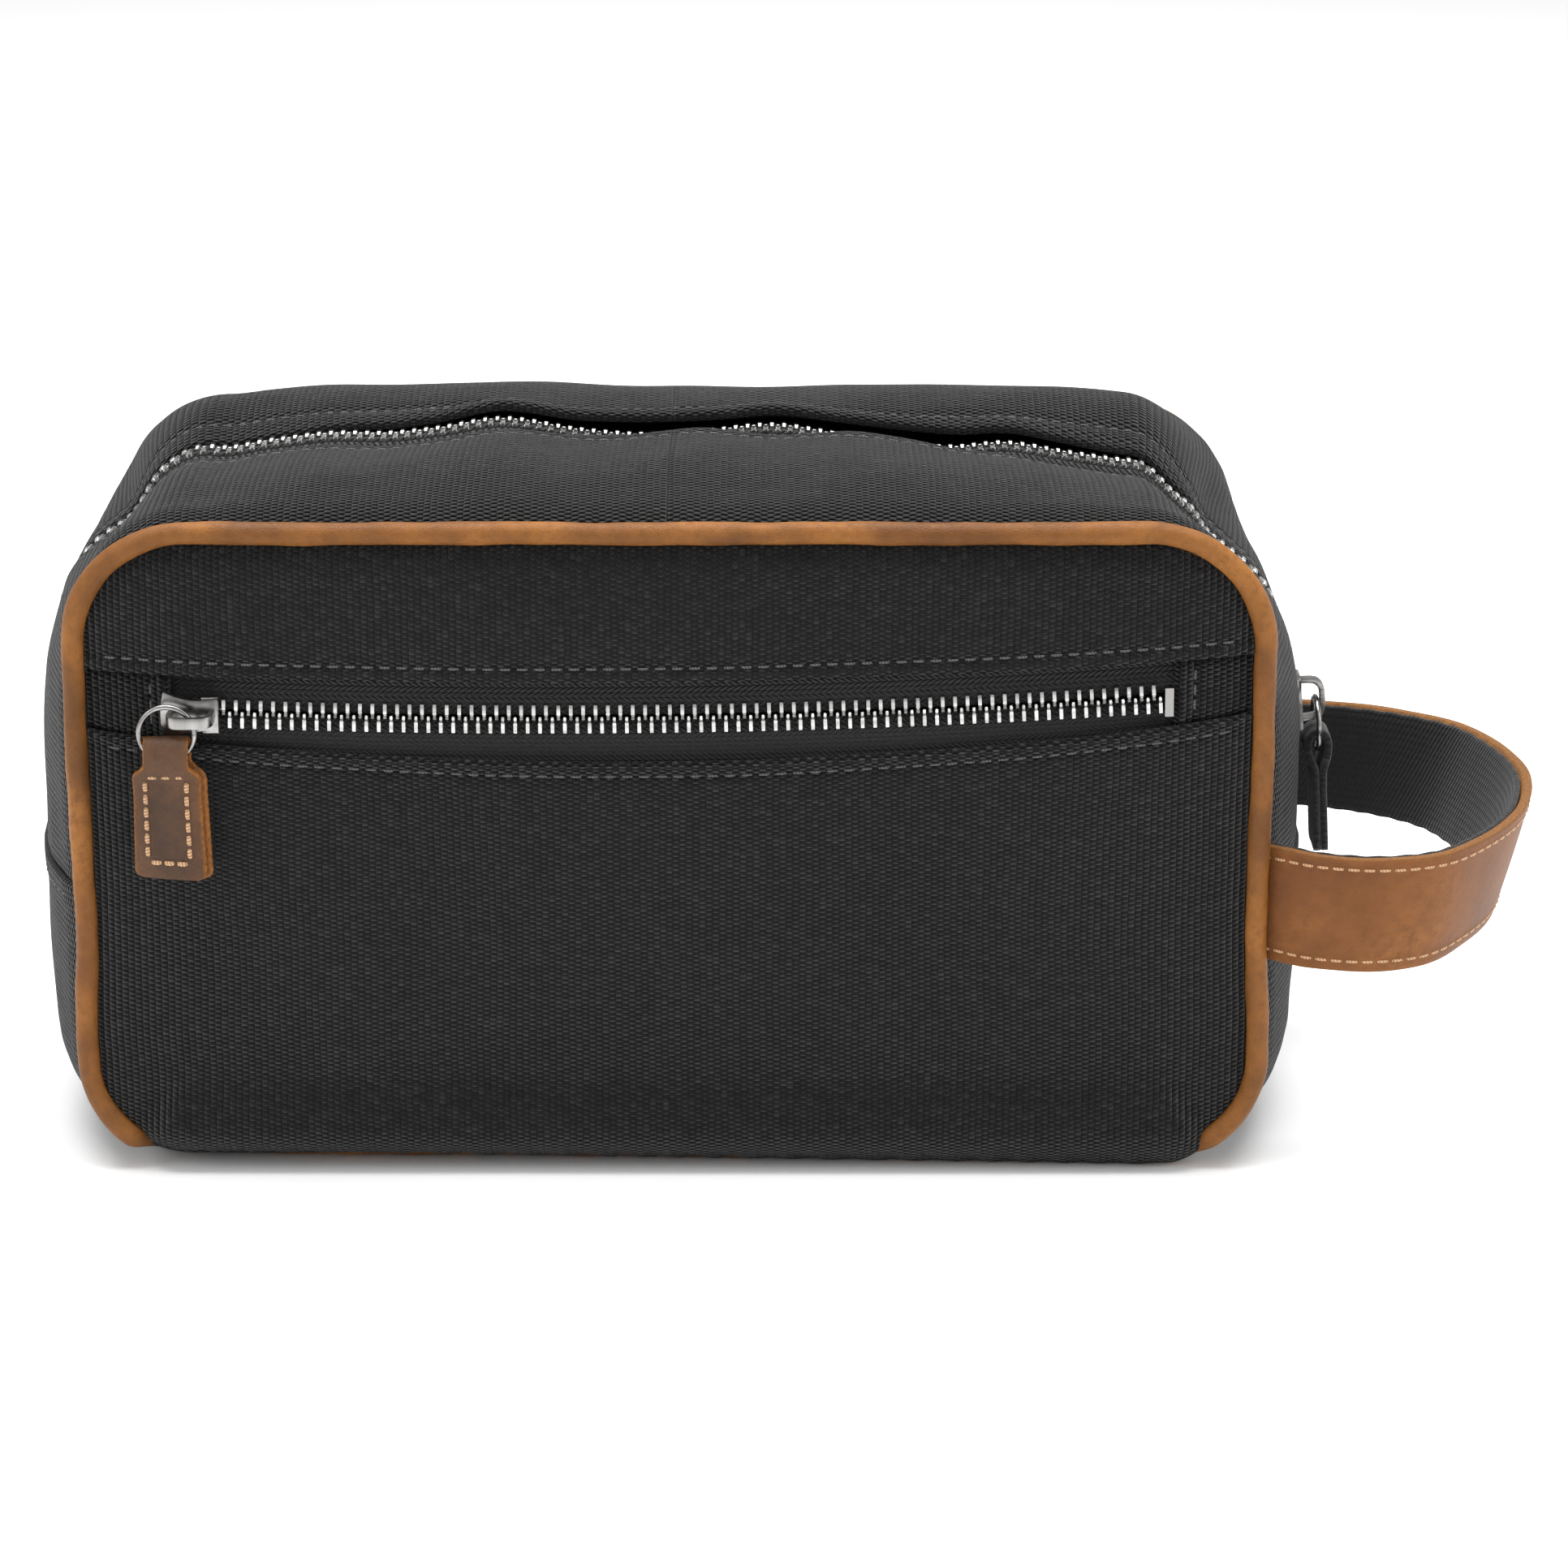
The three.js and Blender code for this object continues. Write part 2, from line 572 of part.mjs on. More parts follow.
// ---- Handle ----
// The strap's middle line in plan, from the front seam round to the rear seam.
const strapCurve = new THREE.CatmullRomCurve3(
  [
    [1, -halfD + 1.6],
    [12, -halfD - 3],
    [24, -halfD - 5.4],
    [36, -halfD - 2],
    [46, -halfD + 9],
    [55, -halfD + 25],
    [59.5, -halfD + 43],
    [60, 3],
    [57, 18],
    [51, 32],
    [39, 42],
    [22, 48.5],
    [1, halfD - 1.6],
  ].map(([x, y]) => new THREE.Vector3(halfW + x, y, 0)),
  false,
  "centripetal",
);

function strapLayer(near, deep) {
  const count = 40;
  const levels = [-1, 1];
  return sheet(
    count + 1,
    levels.length,
    (i, j, d) => {
      const t = i / count;
      const p = strapCurve.getPointAt(t);
      const along = strapCurve.getTangentAt(t);
      const lean = (STRAP_LEAN * Math.max(p.x - halfW, 0)) / 60;
      return new THREE.Vector3(
        p.x + along.y * d + lean * levels[j],
        p.y - along.x * d,
        STRAP_HEIGHT + (levels[j] * STRAP_WIDTH) / 2,
      );
    },
    near,
    deep,
  );
}

// The seam and, past it, the room that each end needs to tilt.
const strapRoot = halfW + STRAP_ROOT;
const tiltRoom = (STRAP_WIDTH / 2 + 2) * Math.tan(THREE.MathUtils.degToRad(STRAP_TILT));
const seamSide = plateXZ(
  [
    [-far, STRAP_HEIGHT - STRAP_WIDTH / 2 - 2],
    [strapRoot + GAP + tiltRoom, STRAP_HEIGHT - STRAP_WIDTH / 2 - 2],
    [strapRoot + GAP, STRAP_HEIGHT],
    [strapRoot + GAP + tiltRoom, STRAP_HEIGHT + STRAP_WIDTH / 2 + 2],
    [-far, STRAP_HEIGHT + STRAP_WIDTH / 2 + 2],
  ],
  -far,
  far,
);

// ---- Assembly ----
const bag = new THREE.Group();
function add(name, geometry, material, parent = bag) {
  const mesh = new THREE.Mesh(geometry, material);
  mesh.name = name;
  parent.add(mesh);
  return mesh;
}

function buildPanels() {
  add("front_panel_upper", common(facePanel, lipCutter(UPPER_LIP, 0, true)), canvas);
  add("front_panel_lower", common(facePanel, lipCutter(LOWER_LIP, 0, false)), canvas);
  const left = block([-far, -far, -far], [-POCKET_HALF_WIDTH, far, far]);
  const right = block([POCKET_HALF_WIDTH, -far, -far], [far, far, far]);
  add("front_zip_end_left", common(zipBand, left), canvas);
  add("front_zip_end_right", common(zipBand, right), canvas);
  add("back_panel", faceLayer(1, pipingClear, 0, CANVAS), canvas);
}

function buildGusset() {
  const slots = [strapSlot(-1), strapSlot(1)];
  add("bottom_gusset", cut(common(band, below), ...slots), canvas);
  const halves = { front: frontHalf(MAIN_ZIP_OPENING), rear: rearHalf(MAIN_ZIP_OPENING) };
  for (const [hand, part] of Object.entries(halves)) {
    add("side_gusset_left_" + hand, common(band, above, part, zones.left), canvas);
    const right = common(band, above, part, zones.right);
    add("side_gusset_right_" + hand, cut(right, ...slots), canvas);
    add("top_gusset_" + hand, common(band, part, zones.top), canvas);
  }
}

function buildSeams() {
  const bindingDepth = CANVAS + BINDING_CLEAR;
  for (const [hand, side] of [["front", -1], ["rear", 1]]) {
    add("piping_" + hand, pipingRing(side), pipingLeather);
    const outer = outline(bindingDepth, 5, 1, 1, 1).map((p) => [p.x, p.z]);
    const inner = outline(bindingDepth + BINDING_WIDTH, 5, 1, 1, 1).map((p) => [p.x, p.z]);
    const edge = gussetEdge + BINDING_LAP;
    const y = [side * edge, side * (edge - BINDING_THICKNESS)].sort((a, b) => a - b);
    const frame = cut(plateXZ(outer, ...y), plateXZ(inner, y[0] - 1, y[1] + 1));
    add("seam_binding_" + hand, cut(frame, strapSlot(side)), liningCloth);
  }
}

// A closed round cord along the outline of one panel.
function pipingRing(side) {
  const ring = outline(0, 6, FLARE_STEPS, 4, 3);
  const sides = 8;
  return tubeRound(ring, sides, (p, angle) => {
    const out = PIPING_RADIUS * Math.cos(angle);
    return [p.x + p.nx * out, side * halfD + PIPING_RADIUS * Math.sin(angle), p.z + p.nz * out];
  });
}

function tubeRound(ring, sides, pointAt) {
  const positions = [];
  const index = [];
  for (const p of ring) {
    for (let k = 0; k < sides; k += 1) positions.push(...pointAt(p, (2 * Math.PI * k) / sides));
  }
  const at = (i, k) => (i % ring.length) * sides + (k % sides);
  for (let i = 0; i < ring.length; i += 1) {
    for (let k = 0; k < sides; k += 1) {
      index.push(at(i, k), at(i + 1, k), at(i + 1, k + 1), at(i, k), at(i + 1, k + 1), at(i, k + 1));
    }
  }
  const geometry = new THREE.BufferGeometry();
  geometry.setAttribute("position", new THREE.Float32BufferAttribute(positions, 3));
  geometry.setIndex(index);
  faceOut(geometry);
  geometry.computeVertexNormals();
  return geometry;
}

function buildLinings() {
  const tub = (inset, low) => {
    const x = halfW - TUB_INSET - inset;
    const radius = BOTTOM_RADIUS - TUB_INSET - inset;
    const arc = steps(-Math.PI / 2, 0, 5).map((a) => [
      x - radius + radius * Math.cos(a),
      low + radius + radius * Math.sin(a),
    ]);
    const rim = outlineHigh - TUB_RIM_DROP - TOP_RADIUS / 3 + (inset ? far : 0);
    return [...arc, [x, rim], [-x, rim], ...arc.map(([px, pz]) => [-px, pz]).reverse()];
  };
  const depth = anchorInner - GAP;
  const low = outlineLow + CANVAS + GAP;
  const outer = plateXZ(tub(0, low), -depth, depth);
  const inner = plateXZ(tub(LINING, low + LINING), -depth + LINING, depth - LINING);
  add("main_lining", cut(outer, inner), liningCloth);
  add("top_lining_front", common(topLining(-1), zones.top), liningCloth);
  add("top_lining_rear", common(topLining(1), zones.top), liningCloth);
  const pocketBack = -depth - GAP;
  add(
    "pocket_lining",
    block(
      [-POCKET_HALF_WIDTH + POCKET_LINING_INSET, pocketBack - LINING, POCKET_BOTTOM],
      [POCKET_HALF_WIDTH - POCKET_LINING_INSET, pocketBack, LOWER_LIP.middle + POCKET_TOP_LAP],
    ),
    liningCloth,
  );
}

// A frame on the zip at the slider: +X along the zip to its closed side, +Z away from the bag.
function frameAt(origin, along, outward) {
  const across = new THREE.Vector3().crossVectors(outward, along);
  const group = new THREE.Group();
  group.quaternion.setFromRotationMatrix(new THREE.Matrix4().makeBasis(along, across, outward));
  group.position.copy(origin);
  bag.add(group);
  return group;
}

function buildPull(prefix, group, backLevel, ringCentre, tabShape, tabFinish) {
  add(prefix + "_slider_body", sliderBody(backLevel), metal, group);
  add(prefix + "_slider_bridge", sliderBridge(), metal, group);
  const ring = add(prefix + "_pull_ring", pullRing(), metal, group);
  ring.position.set(ringCentre[0], ringCentre[1], RING_STANDOFF);
  return add(prefix + "_pull_tab", pullTab(...tabShape), tabFinish, group);
}

// Two rows of teeth, two tapes in three lengths each, and the stop at the left end. Where the zip bends over
// the corners its rows are plain bars, and along the straight top each tooth is cut.
function buildMainZip() {
  const lowest = {
    left: SEAM_HEIGHT + MAIN_END_LIFT,
    right: MAIN_SLIDER_HEIGHT - SLIDER_LENGTH / 2 + POST_LENGTH + GAP,
  };
  const tapeTop = block([-far, -far, SEAM_HEIGHT - MAIN_TAPE_TUCK], [far, far, far]);
  for (const [hand, side] of [["front", -1], ["rear", 1]]) {
    const tape = mainTape(side);
    add("main_zip_tape_left_" + hand, common(tape, tapeTop, zones.left), tapeCloth);
    add("main_zip_tape_right_" + hand, common(tape, tapeTop, zones.right), tapeCloth);
    add("main_zip_tape_top_" + hand, common(tape, zones.top), tapeCloth);
    add("main_zip_teeth_left_" + hand, sideRow(-1, side, lowest.left), metal);
    add("main_zip_teeth_right_" + hand, sideRow(1, side, lowest.right), metal);
    const phase = side < 0 ? toothGap : toothGap + TOOTH_PITCH / 2;
    const row = straightRow(-flapHalf + half, flapHalf - half, side, phase);
    const level = outlineHigh + TOP_CROWN - MAIN_TEETH_DEPTH;
    add("main_zip_teeth_top_" + hand, row.translate(0, 0, level), metal);
  }
  const stopTop = lowest.left - GAP;
  const leftWall = gussetPoint({ x: -halfW, z: stopTop, nx: -1, nz: 0 }, 0, MAIN_TEETH_DEPTH);
  add(
    "main_zip_end_stop",
    block(
      [leftWall.x - TEETH_THICKNESS / 2, -CHAIN_HALF, stopTop - STOP_LENGTH],
      [leftWall.x + TEETH_THICKNESS / 2, CHAIN_HALF, stopTop],
    ),
    metal,
  );
}

function buildMainSlider() {
  const wall = (z) => gussetPoint({ x: halfW, z, nx: 1, nz: 0 }, 0, MAIN_TEETH_DEPTH);
  const origin = wall(MAIN_SLIDER_HEIGHT);
  const low = wall(MAIN_SLIDER_HEIGHT - SLIDER_LENGTH / 2);
  const along = wall(BAG_HEIGHT - TOP_RADIUS).sub(low).normalize();
  const outward = new THREE.Vector3(along.z, 0, -along.x);
  const group = frameAt(origin, along, outward);
  const tapeInside = CANVAS + GAP + TAPE - MAIN_TEETH_DEPTH;
  const backLevel = -(tapeInside + GAP + MAIN_PLATE_CLEAR);
  const shape = [MAIN_TAB_LENGTH, MAIN_TAB_WIDTH];
  const tab = buildPull("main", group, backLevel, [-RING_RADIUS, 0], shape, tabCloth);
  // Hangs from the bottom of the ring, down the zip.
  tab.rotation.z = -Math.PI / 2;
  tab.position.set(-2 * RING_RADIUS, 0, RING_STANDOFF);
  buildStops(group, ["main_zip_top_stop_front", "main_zip_top_stop_rear"]);
}

function buildStops(group, names) {
  names.forEach((name, k) => {
    const side = k === 0 ? -1 : 1;
    const y = [side * (POST_WIDTH / 2 + GAP), side * CHAIN_HALF].sort((a, b) => a - b);
    const end = -SLIDER_LENGTH / 2 + POST_LENGTH;
    const stop = block(
      [end - STOP_LENGTH, y[0], -TEETH_THICKNESS / 2],
      [end, y[1], TEETH_THICKNESS / 2],
    );
    add(name, stop, metal, group);
  });
}

function buildFrontZip() {
  const start = FRONT_ZIP_START - SLIDER_LENGTH / 2 + POST_LENGTH + GAP;
  const finishX = POCKET_HALF_WIDTH - STOP_LENGTH - 2 * GAP;
  const y = -(halfD + faceSwell(FRONT_ZIP_START, FRONT_ZIP_HEIGHT) - FRONT_TEETH_DEPTH);
  const origin = new THREE.Vector3(FRONT_ZIP_START, y, FRONT_ZIP_HEIGHT);
  const along = new THREE.Vector3(Math.cos(frontZipTilt), 0, Math.sin(frontZipTilt));
  const group = frameAt(origin, along, new THREE.Vector3(0, -1, 0));
  for (const [hand, side] of [["upper", 1], ["lower", -1]]) {
    add("front_zip_tape_" + hand, frontTape(side), tapeCloth);
    const phase = side < 0 ? toothGap : toothGap + TOOTH_PITCH / 2;
    const row = straightRow(start - FRONT_ZIP_START, finishX - FRONT_ZIP_START, side, phase);
    add("front_zip_teeth_" + hand, row, metal, group);
  }
  const stop = finishX - FRONT_ZIP_START + GAP;
  const t = TEETH_THICKNESS / 2;
  const endStop = block([stop, -CHAIN_HALF, -t], [stop + STOP_LENGTH, CHAIN_HALF, t]);
  add("front_zip_end_stop", endStop, metal, group);
  const backLevel = -(TEETH_THICKNESS / 2 + CANVAS / 2 + GAP / 2);
  const aside = -Math.sqrt(RING_RADIUS ** 2 - FRONT_RING_DROP ** 2);
  const shape = [FRONT_TAB_LENGTH, TAB_WIDTH];
  const tab = buildPull("front", group, backLevel, [aside, -FRONT_RING_DROP], shape, tabLeather);
  tab.position.set(aside, -FRONT_RING_DROP - RING_RADIUS, RING_STANDOFF);
  buildStops(group, ["front_zip_top_stop_lower", "front_zip_top_stop_upper"]);
}

function buildHandle() {
  add("handle_leather", cut(strapLayer(0, STRAP_LEATHER), seamSide), strapLeather);
  add("handle_webbing", cut(strapLayer(-GAP - STRAP_WEBBING, -GAP), seamSide), webbing);
  for (const [hand, side] of [["front", -1], ["rear", 1]]) {
    const y = [side * anchorOuter, side * anchorInner].sort((a, b) => a - b);
    add(
      "handle_anchor_" + hand,
      block(
        [halfW - ANCHOR_LENGTH + GAP, y[0], STRAP_HEIGHT - STRAP_WIDTH / 2],
        [strapRoot - GAP, y[1], STRAP_HEIGHT + STRAP_WIDTH / 2],
      ),
      strapLeather,
    );
  }
}

buildPanels();
buildGusset();
buildSeams();
buildLinings();
buildMainZip();
buildMainSlider();
buildFrontZip();
buildHandle();

export default bag;
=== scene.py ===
"""Shaving kit bag: canvas, leather, zips and thread, dressed over the CAD frame.

Shapes are worked out in millimetres, in the CAD frame: +X towards the handle, +Y to the back, +Z up.
"""

import math

import bmesh
import bpy
import numpy as np
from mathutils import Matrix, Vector


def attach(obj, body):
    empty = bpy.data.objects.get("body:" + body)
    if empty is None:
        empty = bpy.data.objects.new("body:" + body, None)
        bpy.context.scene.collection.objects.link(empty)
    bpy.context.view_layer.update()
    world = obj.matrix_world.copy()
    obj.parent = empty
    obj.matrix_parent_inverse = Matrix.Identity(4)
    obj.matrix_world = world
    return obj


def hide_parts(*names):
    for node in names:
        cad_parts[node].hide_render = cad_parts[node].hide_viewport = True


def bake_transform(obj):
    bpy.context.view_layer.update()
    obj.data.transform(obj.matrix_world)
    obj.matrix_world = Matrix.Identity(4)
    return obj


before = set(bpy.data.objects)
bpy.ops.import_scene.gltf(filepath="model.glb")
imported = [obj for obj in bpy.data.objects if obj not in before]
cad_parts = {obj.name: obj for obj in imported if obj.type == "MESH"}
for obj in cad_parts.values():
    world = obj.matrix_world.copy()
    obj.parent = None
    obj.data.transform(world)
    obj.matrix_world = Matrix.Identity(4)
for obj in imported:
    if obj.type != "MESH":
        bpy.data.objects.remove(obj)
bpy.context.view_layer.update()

MM = 0.001
PI = math.pi

# ---- Sizes shared with the CAD frame ----
HALF_W = 125.0
HALF_D = 53.0
LOW_Z = 3.0
TOP_Z = 143.0
LOW_R = 22.0
TOP_R = 25.0
FOOT_FLARE = 1.0  # extra half width below
FACE_CROWN = 4.1
SIDE_CROWN = 13.0
LEFT_SLACK = 1.2  # the side without a handle bulges more
CORNER_PULL = 0.9
SIDE_FADE = 0.3
TOP_CROWN = 11.5
FLOOR_CROWN = 6.0
SEAM_Z = 62.0
PIPING_R = 2.6
TOOTH_PITCH = 2.6
TEETH_DEPTH = 1.2
STRAP_HALF = 12.7
STRAP_Z = 61.0
STRAP_LEAN = 3.4
CANVAS_THICK = 2.0
PANEL_INSET = 1.4  # from the middle of the piping to the edge of a panel
SEAM_LAP = 2.4  # floor gusset over zip gusset
SEAM_STITCH = 4.2  # stitch line below the edge of that lap
ZIP_REACH = 110.0  # half the length of the pocket zip's tapes
FRONT_CHAIN_Y = -54.8
RING_R = 5.8
WIRE_R = 0.6
RING_OUT = 6.2  # rings and tabs hang this far off the chain

LOW_CX, LOW_CZ = HALF_W - LOW_R, LOW_Z + LOW_R
HIGH_CX, HIGH_CZ = HALF_W - TOP_R, TOP_Z - TOP_R
FLOOR_END = LOW_CX
LOW_END = FLOOR_END + LOW_R * PI / 2
SIDE_END = LOW_END + HIGH_CZ - LOW_CZ
HIGH_END = SIDE_END + TOP_R * PI / 2
HALF_ROUND = HIGH_END + HIGH_CX
PERIMETER = 2 * HALF_ROUND
RIGHT_SEAM = LOW_END + SEAM_Z - LOW_CZ


# ---- Small maths ----
def step(x, low, high):
    t = np.clip((x - low) / (high - low), 0, 1)
    return t * t * (3 - 2 * t)


def bell(x, middle, width):
    return np.exp(-(((x - middle) / width) ** 2))


def waves(x, *parts):
    return sum(a * np.sin(2 * PI * x / length + phase) for a, length, phase in parts)


def knots(x, pairs):
    """Smooth curve through (x, value) pairs."""
    xs, values = np.array(pairs, float).T
    slopes = np.gradient(values, xs)
    x = np.clip(x, xs[0], xs[-1])
    k = np.clip(np.searchsorted(xs, x) - 1, 0, len(xs) - 2)
    gap = xs[k + 1] - xs[k]
    t = (x - xs[k]) / gap
    a = (1 + 2 * t) * (1 - t) ** 2 * values[k] + t * t * (3 - 2 * t) * values[k + 1]
    return a + gap * (t * (1 - t) ** 2 * slopes[k] + t * t * (t - 1) * slopes[k + 1])


def unit(v):
    return v / np.maximum(np.linalg.norm(v, axis=-1, keepdims=True), 1e-9)


def spread(start, end, count, crowd=0.0):
    """Evenly spaced values, crowded towards both ends by a share from 0 to 1."""
    t = np.linspace(0, 1, count)
    return start + (end - start) * ((1 - crowd) * t + crowd * (1 - np.cos(PI * t)) / 2)


def lengths(points):
    return np.concatenate([[0], np.cumsum(np.linalg.norm(np.diff(points, axis=0), axis=1))])


def along(points, s, values=None):
    """Points, or values that go with them, at distances s along a line."""
    values = points if values is None else values
    track = lengths(points)
    flat = np.stack([np.interp(s.ravel(), track, values[:, k]) for k in range(values.shape[1])], 1)
    return flat.reshape(s.shape + (values.shape[1],))


def smooth_line(points, count):
    """Centripetal Catmull-Rom line through points, evenly spaced."""
    p = np.array(points, float)
    p = np.vstack([2 * p[0] - p[1], p, 2 * p[-1] - p[-2]])
    line = []
    for k in range(1, len(p) - 2):
        q = p[k - 1 : k + 3]
        t = np.concatenate([[0], np.cumsum(np.linalg.norm(np.diff(q, axis=0), axis=1) ** 0.5)])
        for u in np.linspace(t[1], t[2], 24, endpoint=False):
            a = [((t[i + 1] - u) * q[i] + (u - t[i]) * q[i + 1]) / (t[i + 1] - t[i]) for i in range(3)]
            b = [((t[i + 2] - u) * a[i] + (u - t[i]) * a[i + 1]) / (t[i + 2] - t[i]) for i in range(2)]
            line.append(((t[2] - u) * b[0] + (u - t[1]) * b[1]) / (t[2] - t[1]))
    line = np.array([*line, p[-2]])
    return along(line, np.linspace(0, lengths(line)[-1], count))


# ---- Mesh building ----
class Build:
    """Gathers vertices, faces, texture places and edge marks, then makes one object."""

    def __init__(self):
        self.verts, self.faces, self.uvs, self.raws, self.size = [], [], [], [], 0

    def add(self, verts, faces, uv=None, raw=None):
        verts = np.asarray(verts, float).reshape(-1, 3)
        uv = verts[:, :2] if uv is None else np.asarray(uv, float).reshape(-1, 2)
        raw = np.zeros(len(verts)) if raw is None else np.asarray(raw, float).reshape(-1)
        self.faces += [tuple(int(i) + self.size for i in face) for face in faces]
        self.verts.append(verts)
        self.uvs.append(uv)
        self.raws.append(raw)
        self.size += len(verts)
        return self

    def loft(self, points, uv, raw=None, ring=False, caps=True):
        """Closed sections joined in order: points is (stations, section, 3).
        ring joins the last section to the first."""
        n, m = points.shape[:2]
        i = np.arange(n if ring else n - 1)[:, None]
        j = np.arange(m)[None, :]
        ii, jj = (i + 1) % n, (j + 1) % m
        quads = np.stack([i * m + j, ii * m + j, ii * m + jj, i * m + jj], -1).reshape(-1, 4)
        a, b, c, d = (points.reshape(-1, 3)[quads[:, k]] for k in range(4))
        volume = np.einsum("ij,ij->", a, np.cross(b, c)) + np.einsum("ij,ij->", a, np.cross(c, d))
        faces = quads.tolist()
        if caps and not ring:
            faces += [list(range(m)), list(range((n - 1) * m, n * m))[::-1]]
        if volume < 0:
            faces = [f[::-1] for f in faces]
        if caps and not ring:  # the caps wind against the sides
            faces[-2], faces[-1] = faces[-2][::-1], faces[-1][::-1]
            faces[-2:] = [self.wind(points, f, k) for f, k in ((faces[-2], 0), (faces[-1], n - 1))]
        return self.add(points, faces, uv, raw)

    @staticmethod
    def wind(points, face, station):
        """Turns an end cap so that it faces away from the next section."""
        ring = points.reshape(-1, 3)[face]
        middle = ring.mean(0)
        normal = np.cross(ring - middle, np.roll(ring, -1, 0) - middle).sum(0)
        inward = points[1 if station == 0 else station - 1].mean(0) - middle
        return face[::-1] if normal @ inward > 0 else face

    def bars(self, centres, axes, stations, shape):
        """Many small tapered bars. axes are (k, 3) arrays: along the bar, and its two cross directions.
        stations are rows of (place along, half size, half size); shape is the section as pairs."""
        lead, first, second = axes
        st, sh = np.array(stations, float), np.array(shape, float)
        points = (
            centres[:, None, None]
            + lead[:, None, None] * st[None, :, None, :1]
            + first[:, None, None] * (st[None, :, None, 1:2] * sh[None, None, :, :1])
            + second[:, None, None] * (st[None, :, None, 2:3] * sh[None, None, :, 1:])
        )
        return self.strands(points)

    def strands(self, points):
        """Many closed tubes at once: points is (tubes, stations, section, 3)."""
        k, n, m = points.shape[:3]
        i = np.arange(n - 1)[:, None]
        j = np.arange(m)[None, :]
        jj = (j + 1) % m
        one = np.stack([i * m + j, (i + 1) * m + j, (i + 1) * m + jj, i * m + jj], -1).reshape(-1, 4)
        p = points[0].reshape(-1, 3) - points[0].reshape(-1, 3).mean(0)
        a, b, c, d = (p[one[:, q]] for q in range(4))
        if np.einsum("ij,ij->", a, np.cross(b, c)) + np.einsum("ij,ij->", a, np.cross(c, d)) < 0:
            one = one[:, ::-1]
            ends = [list(range(m)), list(range((n - 1) * m, n * m))[::-1]]
        else:
            ends = [list(range(m))[::-1], list(range((n - 1) * m, n * m))]
        s = np.linalg.norm(np.diff(points.mean(2), axis=1), axis=-1)
        s = np.concatenate([np.zeros((k, 1)), np.cumsum(s, 1)], 1)
        uv = np.zeros((k, n, m, 2))
        uv[..., 0] = s[:, :, None] + 7.3 * np.arange(k)[:, None, None]
        uv[..., 1] = np.arange(m) / m
        faces = (one[None] + (n * m * np.arange(k))[:, None, None]).reshape(-1, 4).tolist()
        for q in range(k):
            faces += [[v + q * n * m for v in end] for end in ends]
        return self.add(points, faces, uv)

    def solid(self, outline, low, high, bevel, place, segments=2):
        """A flat outline made into a plate with rounded edges. place turns its points into the CAD frame."""
        bm = bmesh.new()
        bottom = [bm.verts.new((x, y, low)) for x, y in outline]
        top = [bm.verts.new((x, y, high)) for x, y in outline]
        bm.faces.new(bottom[::-1])
        bm.faces.new(top)
        for k in range(len(outline)):
            q = (k + 1) % len(outline)
            bm.faces.new((bottom[k], bottom[q], top[q], top[k]))
        bmesh.ops.recalc_face_normals(bm, faces=bm.faces)
        bm.normal_update()
        sharp = [e for e in bm.edges if e.calc_face_angle(0) > 0.5]
        bmesh.ops.bevel(bm, geom=sharp, offset=bevel, segments=segments, profile=0.6, affect="EDGES")
        bm.verts.index_update()
        local = np.array([v.co for v in bm.verts])
        faces = [[v.index for v in f.verts] for f in bm.faces]
        bm.free()
        return self.add(place(local), faces, local[:, :2])

    def make(self, name, crease=None):
        verts, uvs = np.vstack(self.verts), np.vstack(self.uvs) * MM
        mesh = bpy.data.meshes.new(name)
        mesh.from_pydata((verts * MM).tolist(), [], self.faces)
        corner = np.zeros(len(mesh.loops), int)
        mesh.loops.foreach_get("vertex_index", corner)
        mesh.uv_layers.new(name="UVMap").data.foreach_set("uv", uvs[corner].ravel())
        mark = mesh.attributes.new("raw", "FLOAT", "POINT")
        mark.data.foreach_set("value", np.concatenate(self.raws).astype(np.float32))
        mesh.shade_smooth()
        if crease:
            mesh.set_sharp_from_angle(angle=math.radians(crease))
        obj = bpy.data.objects.new(name, mesh)
        bpy.context.scene.collection.objects.link(obj)
        return obj


def finish(obj, look, body, stands_for=()):
    """Material and slot, the body that it moves with when body is one name (a body given with bend points is
    not attached, only its transform is baked), and the CAD nodes that it stands for.
    """
    obj.data.materials.append(look)
    if isinstance(body, str):
        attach(obj, body)
    else:
        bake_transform(obj)
    if stands_for:
        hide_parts(*stands_for)
    return obj


